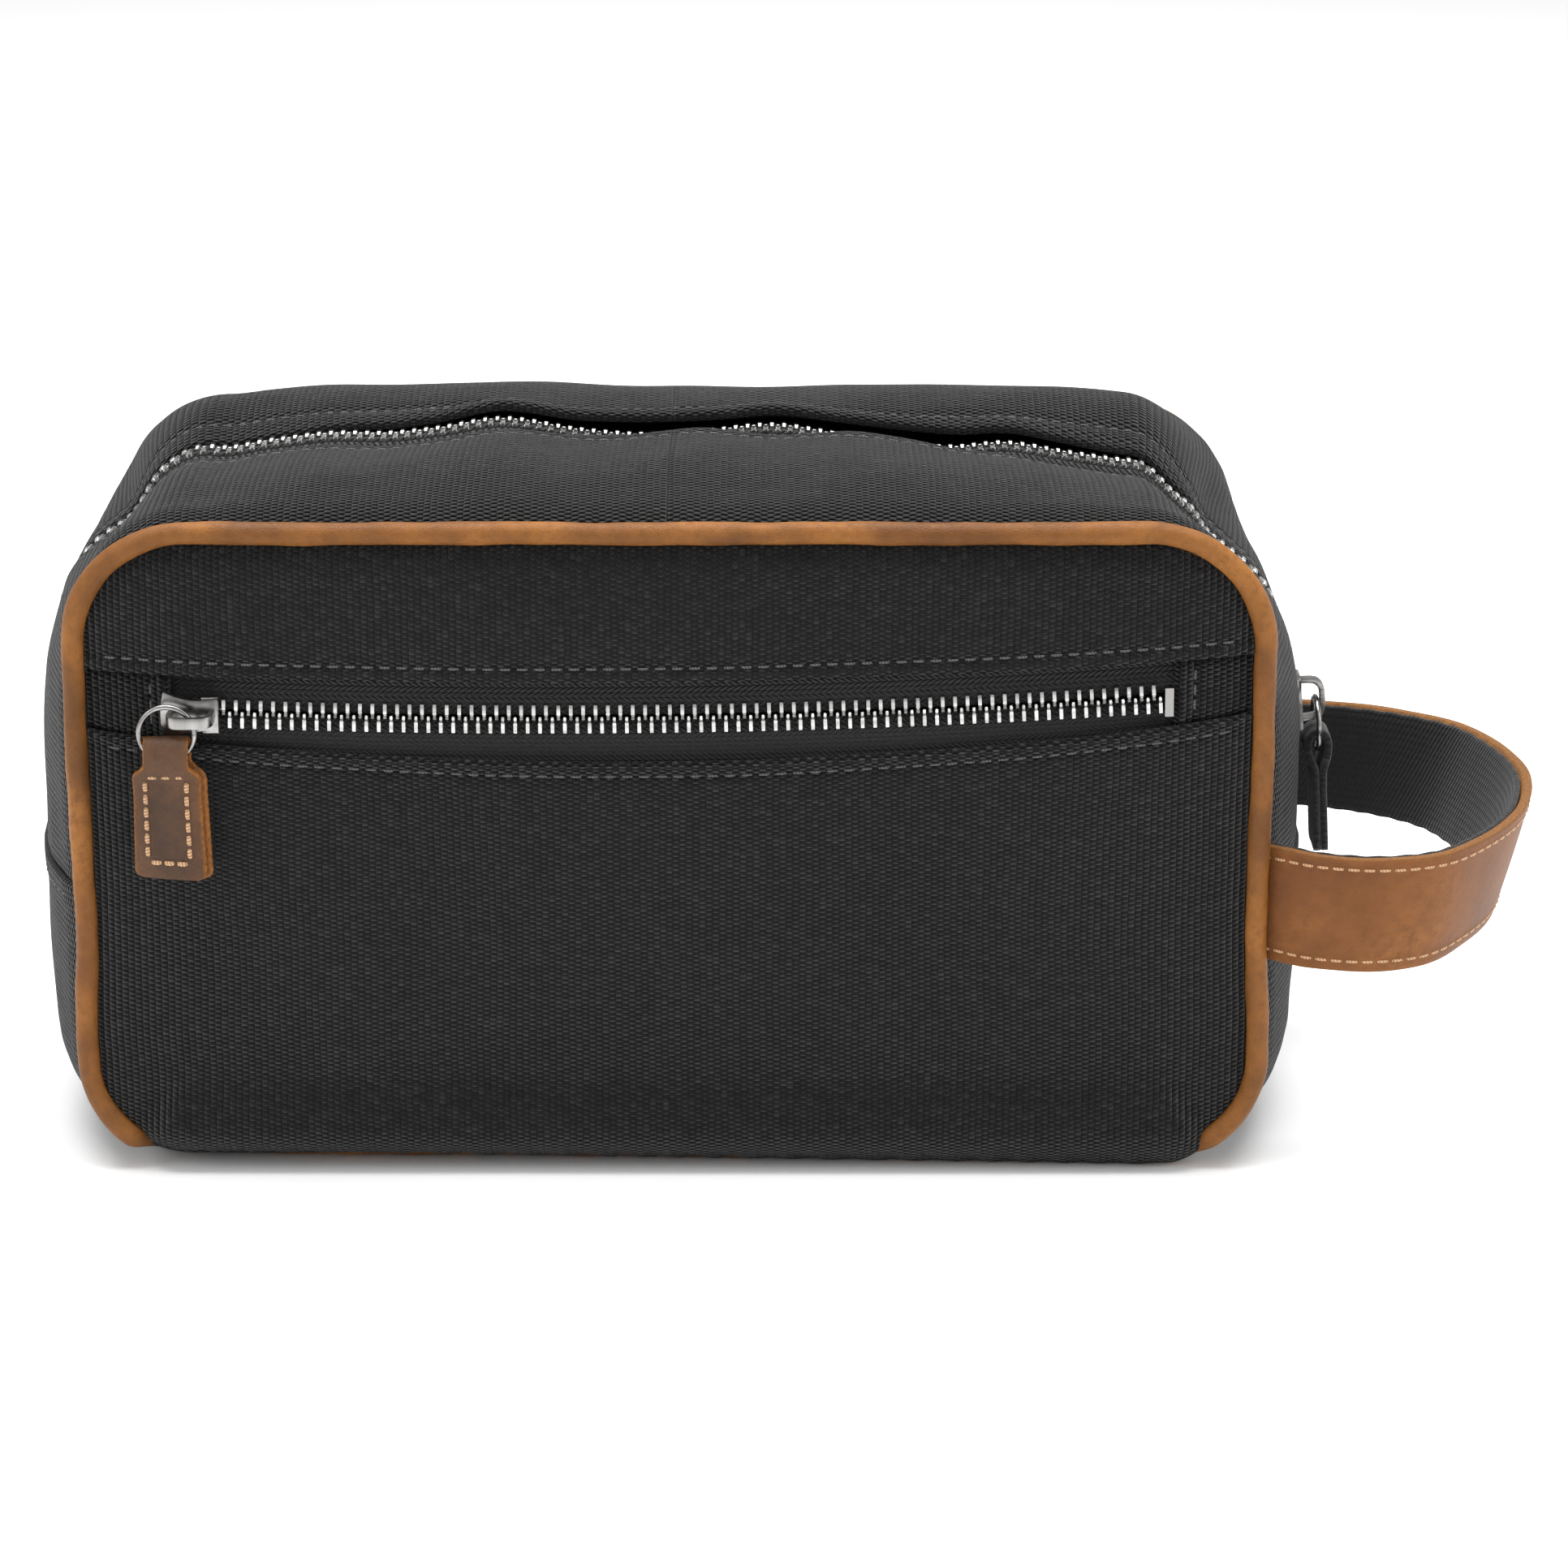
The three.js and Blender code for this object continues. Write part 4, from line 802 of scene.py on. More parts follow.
def build_floor_gusset():
    """The floor and the lower sides. Its top edges are turned in and sewn over the zip gusset."""
    s = spread(-RIGHT_SEAM - SEAM_LAP, RIGHT_SEAM + SEAM_LAP, 330, 0.35)
    from_end = RIGHT_SEAM + SEAM_LAP - np.abs(s)
    ys = TUCK_Y * np.array([1, 0.99, 0.975, 0.95, 0.92, 0.88, 0.82, 0.72, 0.6, 0.45, 0.3, 0.15])
    ys = np.concatenate([ys, [0], -ys[::-1]])
    y = np.broadcast_to(ys[None], (len(s), len(ys)))
    lifted = np.abs(outline(s)[2])[:, None]
    out = soft(s[:, None], y) * step(TUCK_Y - np.abs(y), 1, 14) * lifted
    out = out - 2.2 * np.exp(-(TUCK_Y - np.abs(y)) / 0.8)
    out = out + 0.5 * bell(np.abs(y), 46.5, 3.4) * lifted
    out = out + 0.7 * (1 - step(from_end, 3.5, 8))[:, None]
    out = out - 0.45 * bell(from_end, SEAM_STITCH, 0.7)[:, None]
    tip = np.maximum(1.0 - from_end, 0)[:, None]
    out = out - (1.0 - np.sqrt(np.maximum(1 - tip**2, 0)))
    outer = gusset_points(s, y, out)
    inner = gusset_points(s, y, out - np.minimum(2.0, 0.1 + 2.2 * from_end)[:, None])
    outer[..., 2] = np.maximum(outer[..., 2], 0.05)
    inner[..., 2] = np.maximum(inner[..., 2], 1.9)
    points = np.concatenate([outer, inner[:, ::-1]], 1)
    obj = Build().loft(points, section_uv(s, points)).make("canvas_floor")
    finish(obj, CANVAS, "bag", ["bottom_gusset"])
    build = Build()
    for end in (-1, 1):
        line_y = np.linspace(-48.5, 48.5, 120)[None]
        at = np.array([end * (RIGHT_SEAM + SEAM_LAP - SEAM_STITCH)])
        lift = 0.7 - 0.45 + soft(at[:, None], line_y) * step(TUCK_Y - np.abs(line_y), 1, 14)
        line = gusset_points(at, line_y, lift)[0]
        normal = np.broadcast_to(np.array([end, 0.0, 0.0]), line.shape)
        stitches(build, line, normal)
    finish(build.make("topstitch_side_seams"), BLACK_THREAD, "bag")


# ---- Piping ----
def foot_tuck(x):
    """How far the foot of a panel turns in under the bag."""
    return 8.2 - 4 * x / 110


def build_piping():
    for side in (-1, 1):
        s = np.linspace(0, PERIMETER, 620, endpoint=False)
        k = 2 * PI / PERIMETER
        wander = 0.1 * np.sin(11 * k * s + 1.3) + 0.07 * np.sin(23 * k * s + 0.2 + side)
        wander = wander + 0.04 * np.sin(61 * k * s)
        radius = PIPING_R - 0.2 + 0.07 * np.sin(17 * k * s + side) + 0.05 * np.sin(43 * k * s + 2)
        x, z, nx, nz = outline(s)
        angle = np.linspace(0, 2 * PI, 20, endpoint=False)
        out = wander[:, None] + radius[:, None] * np.cos(angle)
        back = ((0.52 * foot_tuck(x) + 0.5) * step(-nz, 0.8, 0.96))[:, None]
        y = side * (HALF_D - back + 0.4 * wander[:, None] + radius[:, None] * np.sin(angle))
        points = np.stack([x[:, None] + nx[:, None] * out, y, z[:, None] + nz[:, None] * out], -1)
        points[..., 2] = np.maximum(points[..., 2], 0.05)
        uv = np.stack(np.broadcast_arrays(s[:, None], 2.6 * np.abs(angle - PI)[None]), -1)
        obj = Build().loft(points, uv, ring=True).make("piping_cord_" + SIDE_NAME[side])
        finish(obj, PIPING_LEATHER, "bag", ["piping_" + SIDE_NAME[side]])


def build_bindings():
    """Cloth binding over the raw edges inside each seam."""
    for side in (-1, 1):
        s = np.linspace(0, PERIMETER, 300, endpoint=False)
        x, z, nx, nz = outline(s)
        corners = np.linspace(0, 2 * PI, 16, endpoint=False)
        wide = np.sign(np.cos(corners)) * np.abs(np.cos(corners)) ** 0.5
        tall = np.sign(np.sin(corners)) * np.abs(np.sin(corners)) ** 0.5
        depth = 4.6 + 1.9 * wide[None] + 0.15 * np.sin(s / 5.1)[:, None]
        y = side * (48.9 + 1.5 * tall[None] + 0 * s[:, None])
        points = np.stack([x[:, None] - nx[:, None] * depth, y, z[:, None] - nz[:, None] * depth], -1)
        uv = np.stack(np.broadcast_arrays(s[:, None], 2 * corners[None]), -1)
        obj = Build().loft(points, uv, ring=True).make("seam_tape_" + SIDE_NAME[side])
        finish(obj, LINING, "bag", ["seam_binding_" + SIDE_NAME[side]])


# ---- Front and back panels ----
LOWER_LIP = (94.3, 0.0147, 0.00054)
UPPER_LIP = (111.6, 0.0138, 0.00026)
CHAIN = (103.5, 0.0140, 0.00027)
LIP_STITCH = 3.1


def curve_height(curve, x):
    return curve[0] + curve[1] * x + curve[2] * x * x


def cover(x, z):
    """1 where the foot of a panel bulges over the piping, at the bottom of the bag."""
    turn = np.arctan2(LOW_CZ - z, np.maximum(np.abs(x) - LOW_CX, 1e-6))
    return step(turn, 0.85, 1.25) * (z < LOW_CZ)


def panel_out(x, z, lip=None, upward=1):
    """How far a panel stands out from the middle of the piping."""
    d = inside(x, z)
    c = cover(x, z)
    out = face_swell(x, np.maximum(z, LOW_Z))
    out = out - (1 - c) * 1.5 * np.exp(-np.maximum(d - PANEL_INSET, 0) / 1.5)
    out = out + c * 4.3 * bell(d, 1.5, 12) * step(LOW_CZ - z, 0, 9)
    out = out - c * foot_tuck(x) * np.maximum(0, 1 - (d + 2.5) / 9) ** 2
    out = out + 0.35 * (1 - c) * bell(d, 7, 4)
    pucker = np.sin(2 * PI * (x + 0.8 * z) / 8.3 + np.sin(x / 13)) * np.exp(-np.maximum(d, 0) / 5)
    out = out + 0.14 * pucker * (1 + 1.5 * c)
    slack = waves(x + 0.3 * z, (0.3, 118, 0.4), (0.16, 53, 2.2)) + waves(z - 0.2 * x, (0.2, 71, 1.4))
    out = out + slack * step(d, 2, 22)
    if lip is not None:
        away = (curve_height(lip, x) - z) * upward
        out = out + 0.45 * bell(away, 1.2, 1.9) - 0.4 * bell(away, LIP_STITCH, 0.75)
        out = out + 0.1 * np.sin(2 * PI * x / 9.1) * bell(away, LIP_STITCH + 3.5, 3.5)
    return out


def border_height(x, inset, top):
    """z of the outline, moved in by inset, at each x."""
    radius = (TOP_R if top else LOW_R) - inset
    dx = np.clip(np.abs(x) - (HIGH_CX if top else LOW_CX), 0, radius)
    rise = np.sqrt(radius**2 - dx**2)
    return HIGH_CZ + rise if top else LOW_CZ - rise


def foot_height(x):
    """z of the bottom edge of a panel: beside the piping at the corners, over it along the floor."""
    tucked = border_height(x, PANEL_INSET, False)
    over = border_height(x, -2.4, False)
    share = step(np.maximum(LOW_CZ - tucked, 0) / (LOW_R - PANEL_INSET), 0.75, 0.95)
    return tucked + (over - tucked) * share


def columns(reach, corner, count):
    """x of each column, crowded in the rounded corners."""
    flat = np.linspace(-corner, corner, count)
    turn = np.sin(np.linspace(0, PI / 2, 26)[1:])
    side = corner + (reach - corner) * turn
    return np.concatenate([-side[::-1], flat, side])


def panel(name, side, x, low, high, lip=None, upward=1):
    """A canvas layer between two edges. A lip edge is folded, and its inner layer is the hem."""
    t = spread(0, 1, 64, 0.55)[None]
    low, high = low[:, None], high[:, None]
    z = low + (high - low) * (t if upward > 0 else 1 - t)
    xs = np.broadcast_to(x[:, None], z.shape)
    out = panel_out(xs, z, lip, upward)
    if lip is not None:
        radius = CANVAS_THICK / 2
        z = np.where(t > 0.999, z - upward * radius, z)
        angle = np.linspace(PI / 2, -PI / 2, 9)[None, 1:-1]
        fold_z = z[:, -1:] + upward * radius * np.cos(angle)
        fold_out = out[:, -1:] - radius + radius * np.sin(angle)
        z_in = z[:, ::-1][:, ::6]
        out_in = out[:, ::-1][:, ::6] - CANVAS_THICK
        z_all = np.concatenate([z, fold_z, z_in], 1)
        out_all = np.concatenate([out, fold_out, out_in], 1)
    else:
        z_all = np.concatenate([z, z[:, ::-1][:, ::6]], 1)
        out_all = np.concatenate([out, out[:, ::-1][:, ::6] - CANVAS_THICK], 1)
    x_all = np.broadcast_to(x[:, None], z_all.shape)
    points = np.stack([flared(x_all, z_all), side * (HALF_D + out_all), np.maximum(z_all, 0.05)], -1)
    uv = np.stack([x_all, z_all], -1)
    return Build().loft(points, uv).make(name)


def build_panels():
    x = columns(HALF_W - PANEL_INSET, LOW_CX, 150)
    lower = panel("canvas_pocket", -1, x, foot_height(x), curve_height(LOWER_LIP, x), LOWER_LIP)
    finish(lower, CANVAS, "bag", ["front_panel_lower"])
    x = columns(HALF_W - PANEL_INSET, HIGH_CX, 150)
    top = border_height(x, PANEL_INSET, True)
    upper = panel("canvas_yoke", -1, x, curve_height(UPPER_LIP, x), top, UPPER_LIP, -1)
    finish(upper, CANVAS, "bag", ["front_panel_upper"])
    x = columns(HALF_W - PANEL_INSET, LOW_CX, 130)
    back = panel("canvas_back", 1, x, foot_height(x), border_height(x, PANEL_INSET, True))
    finish(back, CANVAS, "bag", ["back_panel"])
    build = Build()
    for lip, upward in ((LOWER_LIP, 1), (UPPER_LIP, -1)):
        x = np.linspace(-119, 119, 300)
        z = curve_height(lip, x) - upward * LIP_STITCH
        line = np.stack([x, -(HALF_D + panel_out(x, z, lip, upward)), z], -1)
        stitches(build, line, np.broadcast_to(np.array([0.0, -1.0, 0.0]), line.shape), 2.6, 1.0)
    finish(build.make("topstitch_front"), BLACK_THREAD, "bag")


def build_zip_ends():
    """The canvas tabs that close each end of the pocket zip: each ends in a rolled edge."""
    build = Build()
    for hand, name in ((-1, "left"), (1, "right")):
        inner = 104.5 if hand < 0 else 106.0
        t = spread(0, 1, 40, 0.5)
        x_out = 123.4 + (inner + 1.3 - 123.4) * t
        angle = np.linspace(PI / 2, -PI / 2, 9)[1:-1]
        x_row = np.concatenate([x_out, inner + 1.3 - 1.3 * np.cos(angle), x_out[::-1][::5]])
        drop = np.concatenate([0 * x_out, -1.3 + 1.3 * np.sin(angle), 0 * x_out[::-1][::5] - 2.6])
        share = np.linspace(0, 1, 30)
        x = hand * x_row[None] + 0 * share[:, None]
        low, high = curve_height(LOWER_LIP, x), curve_height(UPPER_LIP, x)
        z = low - 5 + (high - low + 10) * share[:, None]
        level = face_swell(x, z) - 1.1
        level = level + 0.5 * bell(np.abs(x), inner + 1.4, 1.3) - 0.35 * bell(np.abs(x), inner + 4.2, 0.6)
        level = level - 1.3 * np.exp(-np.maximum(inside(x, z) - PANEL_INSET, 0) / 1.5)
        level = level - 1.2 * (step(low - z, -1.5, 1) + step(z - high, -1.5, 1))
        y = -(HALF_D + level + drop[None])
        points = np.stack([x, y, z], -1)
        obj = Build().loft(points, np.stack([x, z], -1)).make("canvas_zip_end_" + name)
        finish(obj, CANVAS, "bag", ["front_zip_end_" + name])
        lower, upper = (curve_height(lip, hand * ZIP_REACH) for lip in (LOWER_LIP, UPPER_LIP))
        zs = np.linspace(lower + 1.4, upper - 1.4, 30)
        xs = hand * (inner + 4.2) + 0 * zs
        line = np.stack([xs, -(HALF_D + face_swell(xs, zs) - 1.45), zs], -1)
        stitches(build, line, np.broadcast_to(np.array([0.0, -1.0, 0.0]), line.shape))
    finish(build.make("topstitch_zip_ends"), BLACK_THREAD, "bag")


# ---- Zips ----
TOOTH = [(3.2, 0.44, 0.6), (3.08, 0.58, 0.9), (2.3, 0.6, 1.05), (0.95, 0.6, 1.05), (0.76, 0.5, 0.85),
         (0.5, 0.4, 0.75), (0.22, 0.46, 0.95), (-0.12, 0.48, 1.0), (-0.42, 0.34, 0.7)]
OCTAGON = [(1, 0.62), (0.62, 1), (-0.62, 1), (-1, 0.62), (-1, -0.62), (-0.62, -1), (0.62, -1), (1, -0.62)]


def flat_strip(points, thickness, normal):
    """A thin closed strip with softened edges round a (n, m, 3) surface."""
    return np.concatenate([points, (points - normal * thickness)[:, ::-1]], 1)


def build_front_zip():
    x = np.linspace(-ZIP_REACH, ZIP_REACH, 200)
    for name, side in (("upper", 1), ("lower", -1)):
        reach = np.array([0.7, 1.6, 3.0, 3.6, 4.5, 6, 8, 10, 12.5])
        xs = np.broadcast_to(x[:, None], (len(x), len(reach)))
        z = curve_height(CHAIN, xs) + side * reach[None]
        cord = 0.55 * bell(reach, 2.9, 0.7)[None]
        level = face_swell(xs, z) - 2.3 - 0.6 * step(reach, 3, 9)[None] + cord
        level = np.where(reach[None] < 3.5, np.minimum(level, 1.5), level)
        points = np.stack([xs, -(HALF_D + level), z], -1)
        shell = flat_strip(points, 0.7, np.array([0.0, -1.0, 0.0]))
        uv = np.stack([shell[..., 0], np.concatenate([points[..., 2], points[:, ::-1, 2]], 1)], -1)
        uv[..., 1] -= curve_height(CHAIN, uv[..., 0])
        obj = Build().loft(shell, uv).make("zip_tape_front_" + name)
        finish(obj, TAPE, "bag", ["front_zip_tape_" + name])
        start = -102.5 + (1.3 if side > 0 else 2.6)
        at = np.arange(start, 103.2, TOOTH_PITCH)
        slope = CHAIN[1] + 2 * CHAIN[2] * at
        lead = unit(np.stack([-slope, 0 * at, 1 + 0 * at], -1)) * side
        run = unit(np.stack([1 + 0 * at, 0 * at, slope], -1))
        out = np.broadcast_to(np.array([0.0, -1.0, 0.0]), run.shape)
        centre = np.stack([at, FRONT_CHAIN_Y + 0 * at, curve_height(CHAIN, at)], -1)
        obj = Build().bars(centre, (lead, run, out), TOOTH, OCTAGON).make("zip_teeth_front_" + name, 40)
        finish(obj, TEETH, "bag", ["front_zip_teeth_" + name])


def build_main_zip():
    for side in (-1, 1):
        for hand in ("left", "right"):
            start, end = HALVES[hand]
            start, end = (start, end + 6) if hand == "left" else (start - 6, end)
            s = np.linspace(start, end, 220)
            reach = np.array([0.7, 1.8, 2.9, 3.6, 4.4, 6, 9, 12])[None] + 0 * s[:, None]
            lift = chain_level(s)[:, None] - 0.95 - 1.75 * step(reach, 2.6, 4.2) + 0.3 * bell(reach, 2.9, 0.6)
            upper = gusset_points(s, side * reach, lift)
            lower = gusset_points(s, side * reach, lift - 0.7)
            points = np.concatenate([upper, lower[:, ::-1]], 1)
            uv = np.stack([s[:, None] + 0 * points[..., 0], np.concatenate([reach, reach[:, ::-1]], 1)], -1)
            obj = Build().loft(points, uv).make(f"zip_tape_{hand}_{SIDE_NAME[side]}")
            nodes = [f"main_zip_tape_{hand}_{SIDE_NAME[side]}"]
            if hand == "left":
                nodes.append("main_zip_tape_top_" + SIDE_NAME[side])
            finish(obj, TAPE, flap_bend(hand, side), nodes)
            first, last = RIGHT_SEAM + 25.5, HALF_ROUND
            if hand == "left":
                first, last = HALF_ROUND, PERIMETER - RIGHT_SEAM - 11
            phase = 0.65 if side < 0 else 0.65 + TOOTH_PITCH / 2
            count = np.arange(-200, 200)
            at = HALF_ROUND + phase + TOOTH_PITCH * count
            at = at[(at > first) & (at < last)]
            centre, ahead = (
                gusset_points(q, 0 * q[:, None], (chain_level(q) - TEETH_DEPTH)[:, None])[:, 0]
                for q in (at, at + 0.5)
            )
            run = unit(ahead - centre)
            lead = np.broadcast_to(np.array([0.0, float(side), 0.0]), run.shape)
            up = unit(np.cross(run, np.array([0.0, 1.0, 0.0])))
            nx, nz = outline(at)[2:]
            up = up * np.sign(up[:, :1] * nx[:, None] + up[:, 2:] * nz[:, None])
            teeth = Build().bars(centre, (lead, run, up), TOOTH, OCTAGON)
            obj = teeth.make(f"zip_teeth_{hand}_{SIDE_NAME[side]}", 40)
            nodes = [f"main_zip_teeth_{hand}_{SIDE_NAME[side]}"]
            if hand == "left":
                nodes.append("main_zip_teeth_top_" + SIDE_NAME[side])
            finish(obj, TEETH, flap_bend(hand, side), nodes)


# ---- Sliders, rings and pull tabs ----
def place_in(origin, first, second, third):
    """Turns points in a local frame into the CAD frame."""
    axes = np.array([first, second, third], float)
    return lambda p: np.asarray(origin, float) + np.asarray(p, float) @ axes


FRONT_PLACE = place_in((-100, FRONT_CHAIN_Y, 104.6), (0.99992, 0, 0.0125), (0, 0, 1), (0, -1, 0))
MAIN_PLACE = place_in((136.202, 0, 90), (-0.05955, 0, 0.99823), (0, -1, 0), (0.99823, 0, 0.05955))


def slider_outline(grow=0.0):
    t = np.linspace(0, 1, 13)
    x = -5.8 + 11.6 * t
    half = 5.6 - 1.7 * t - 1.15 * 4 * t * (1 - t) + grow
    nose = [(-6.5, 1.6), (-6.5, -1.6)]
    upper = list(zip(x, half))
    return upper + [(px, -h) for px, h in reversed(upper)] + nose[::-1]


def build_slider(name, place, body, back_level, nodes):
    build = Build()
    build.solid(slider_outline(), 1.5, 2.9, 0.62, place, 2)
    build.solid(slider_outline(-0.1), back_level - 1.0, back_level, 0.3, place)
    build.solid([(-5.4, -0.8), (-3.4, -0.8), (-3.4, 0.8), (-5.4, 0.8)], back_level - 0.5, 2.0, 0.2, place)
    for side in (-1, 1):
        wall = [(x, side * (3.4 + 0.55 * w)) for x, w in ((2.2, 0), (5.7, 0), (5.7, 1), (2.2, 1))]
        build.solid(wall if side > 0 else wall[::-1], 0.4, 2.2, 0.15, place)
    finish(build.make(name + "_slider", 38), NICKEL, body, [nodes[0]])
    arch = []
    for reach, top in ((5.0, 8.25), (3.75, 7.0)):
        angle = np.linspace(0, PI, 15)
        xs = reach * np.sign(np.cos(angle)) * np.abs(np.cos(angle)) ** 0.62
        zs = 2.75 + (top - 2.75) * np.sin(angle) ** 0.5
        row = list(zip(xs, zs))
        arch += row if not arch else row[::-1]
    turned = lambda p: place(np.stack([p[:, 0], -p[:, 2], p[:, 1]], -1))
    bridge = Build().solid(arch, -1.25, 1.25, 0.32, turned)
    finish(bridge.make(name + "_bridge", 38), NICKEL, body, [nodes[1]])


def build_ring(name, place, body, centre, node):
    turn = np.linspace(0, 2 * PI, 72, endpoint=False)
    angle = np.linspace(0, 2 * PI, 14, endpoint=False)
    radius = RING_R + WIRE_R * np.cos(angle)[None]
    points = np.stack([radius * np.cos(turn)[:, None], radius * np.sin(turn)[:, None],
                       WIRE_R * np.sin(angle)[None] + 0 * turn[:, None]], -1)
    points = place(points + np.array([centre[0], centre[1], RING_OUT]))
    uv = np.stack(np.broadcast_arrays(RING_R * turn[:, None], WIRE_R * angle[None]), -1)
    obj = Build().loft(points, uv, ring=True).make(name + "_ring")
    finish(obj, NICKEL, body, [node])


def tab_place(place, hang, up, across):
    """The tab's own frame: x across it, y up to the ring, z away from the bag."""
    up, across = np.array(up, float), np.array(across, float)
    return lambda p: place(np.array(hang) + p[..., :1] * across + p[..., 1:2] * up
                           + p[..., 2:3] * np.array([0.0, 0.0, 1.0]))


def tab_shape(length, width, thickness, twist, shift, fuzz):
    """A strip folded over the ring, as closed sections of its cut edge, grain, edge and back."""
    end = -1.05 - length
    flat = thickness / 2 + 0.02
    half_path = [(flat, end), (flat, end + 1.2), (flat, end + 0.5 * length), (flat, -6.2),
                 (flat + 0.05, -4.6), (1.15, -3.2), (1.95, -1.4), (2.28, 0.6), (2.2, 2.5),
                 (1.45, 3.95), (0, 4.5)]
    path = half_path + [(-o, up) for o, up in half_path[-2::-1]]
    line = smooth_line(path, 130)
    out, up = line[:, 0], line[:, 1]
    lead = unit(np.gradient(line, axis=0))
    normal = np.stack([lead[:, 1], -lead[:, 0]], -1)
    neck, side = 4.7 * min(1, width / 16.4 * 1.12), width / 2
    half = np.where(up > -0.6, neck, neck + (side - 0.6 - neck) * step(-up, 0.6, 3.6))
    half = np.where(up < -3.6, side - 0.6 + 0.6 * np.clip((-3.6 - up) / (length - 3), 0, 1), half)
    corner = np.clip(1.7 - (up - end), 0, 1.7)
    half = half - 1.7 + np.sqrt(np.maximum(1.7**2 - corner**2, 0))
    t = thickness / 2
    section = [(-1, -0.72), (-1, 0.72), (-0.93, 1), (-0.6, 1), (-0.2, 1), (0.2, 1), (0.6, 1), (0.93, 1),
               (1, 0.72), (1, -0.72), (0.93, -1), (0.4, -1), (-0.4, -1), (-0.93, -1)]
    raw = [1, 1, 0.8, 0.6, 0.6, 0.6, 0.6, 0.8, 1, 1, 0.15, 0, 0, 0.15]
    sec = np.array(section)
    k = np.arange(len(line))[:, None]
    cut_edge = np.abs(sec[None, :, 0]) > 0.9
    ragged = fuzz * (np.sin(1.9 * k + 3 * sec[None, :, 0]) + np.sin(3.1 * k + 1.3)) * cut_edge
    x = sec[None, :, 0] * half[:, None] + ragged
    depth = sec[None, :, 1] * t
    o = out[:, None] + normal[:, 0][:, None] * depth * -1
    v = up[:, None] + normal[:, 1][:, None] * depth * -1
    back = step(-out, 0, 0.6)[:, None]
    x = x + shift * back * step(-up, 0, 5)[:, None]
    angle = math.radians(twist) * step(-v, -2, 9)
    cup = 0.03 * x * x / 8 * step(-v, 2, 10)
    o = o - cup
    points = np.stack([x * np.cos(angle) - o * np.sin(angle), v, o * np.cos(angle) + x * np.sin(angle)], -1)
    s = lengths(line)
    uv = np.stack(np.broadcast_arrays(sec[None, :, 0] * half[:, None], s[:, None]), -1)
    return points, uv, np.broadcast_to(np.array(raw, float)[None], points.shape[:2])


def build_tabs():
    twist = 13
    hang = (-4.9, -2.6 - RING_R, RING_OUT)
    place = tab_place(FRONT_PLACE, hang, (0, 1, 0), (1, 0, 0))
    points, uv, raw = tab_shape(25, 15.9, 1.4, twist, 0.75, 0.06)
    obj = Build().loft(place(points), uv, raw).make("front_tab_leather")
    finish(obj, TAB_LEATHER, "front_tab", ["front_pull_tab"])
    corners = [(-4.6, -3.4), (4.4, -3.2), (4.7, -22.4), (-4.7, -22.5)]
    build = Build()
    for a, b in zip(corners, corners[1:] + corners[:1]):
        t = np.linspace(0, 1, 30)[:, None]
        flat = np.array(a) + (np.array(b) - np.array(a)) * t
        turned = math.radians(twist) * step(-flat[:, 1], -2, 9)
        out = 1.42 - 0.03 * flat[:, 0] ** 2 / 8 * step(-flat[:, 1], 2, 10)
        line = np.stack([flat[:, 0] * np.cos(turned) - out * np.sin(turned), flat[:, 1],
                         out * np.cos(turned) + flat[:, 0] * np.sin(turned)], -1)
        up = np.stack([-np.sin(turned), 0 * turned, np.cos(turned)], -1)
        world = place(line)
        stitches(build, world, unit(place(line + up) - world), 2.35, 0.55, 0.52, 0.15, 8)
    finish(build.make("front_tab_stitches"), TAN_THREAD, "front_tab")
    place = tab_place(MAIN_PLACE, (-2 * RING_R, 0, RING_OUT), (1, 0, 0), (0, -1, 0))
    points, uv, raw = tab_shape(22, 12, 1.6, 0, 0.0, 0.1)
    obj = Build().loft(place(points), uv, raw).make("main_tab_cloth")
    finish(obj, TAB_CLOTH, "main_tab", ["main_pull_tab"])


# ---- Handle ----
STRAP_LINE = [(116, -46.6), (122, -47.6), (126.6, -49.3), (130.6, -51.8), (137, -56), (149, -58.4),
              (161, -55), (171, -44), (180, -28), (184.5, -10), (185, 3), (182, 18), (176, 32),
              (164, 42), (147, 48.5),
              (133, 50.6), (127, 49.4), (122, 47.8), (116, 46.6)]
STRAP_BEND = ("handle", (0.1285, 0, 0.061), (0.141, 0, 0.061))


def strap_points(line, depth, height):
    """Points beside the strap's line: depth away from the loop, height up from its middle."""
    lead = unit(np.gradient(line, axis=0))
    lean = STRAP_LEAN * np.maximum(line[:, 0] - HALF_W, 0) / 60
    x = line[:, :1] + lead[:, 1:] * depth + lean[:, None] * height / STRAP_HALF
    y = line[:, 1:] - lead[:, :1] * depth
    return np.stack([x, y, STRAP_Z + height + 0 * x], -1)


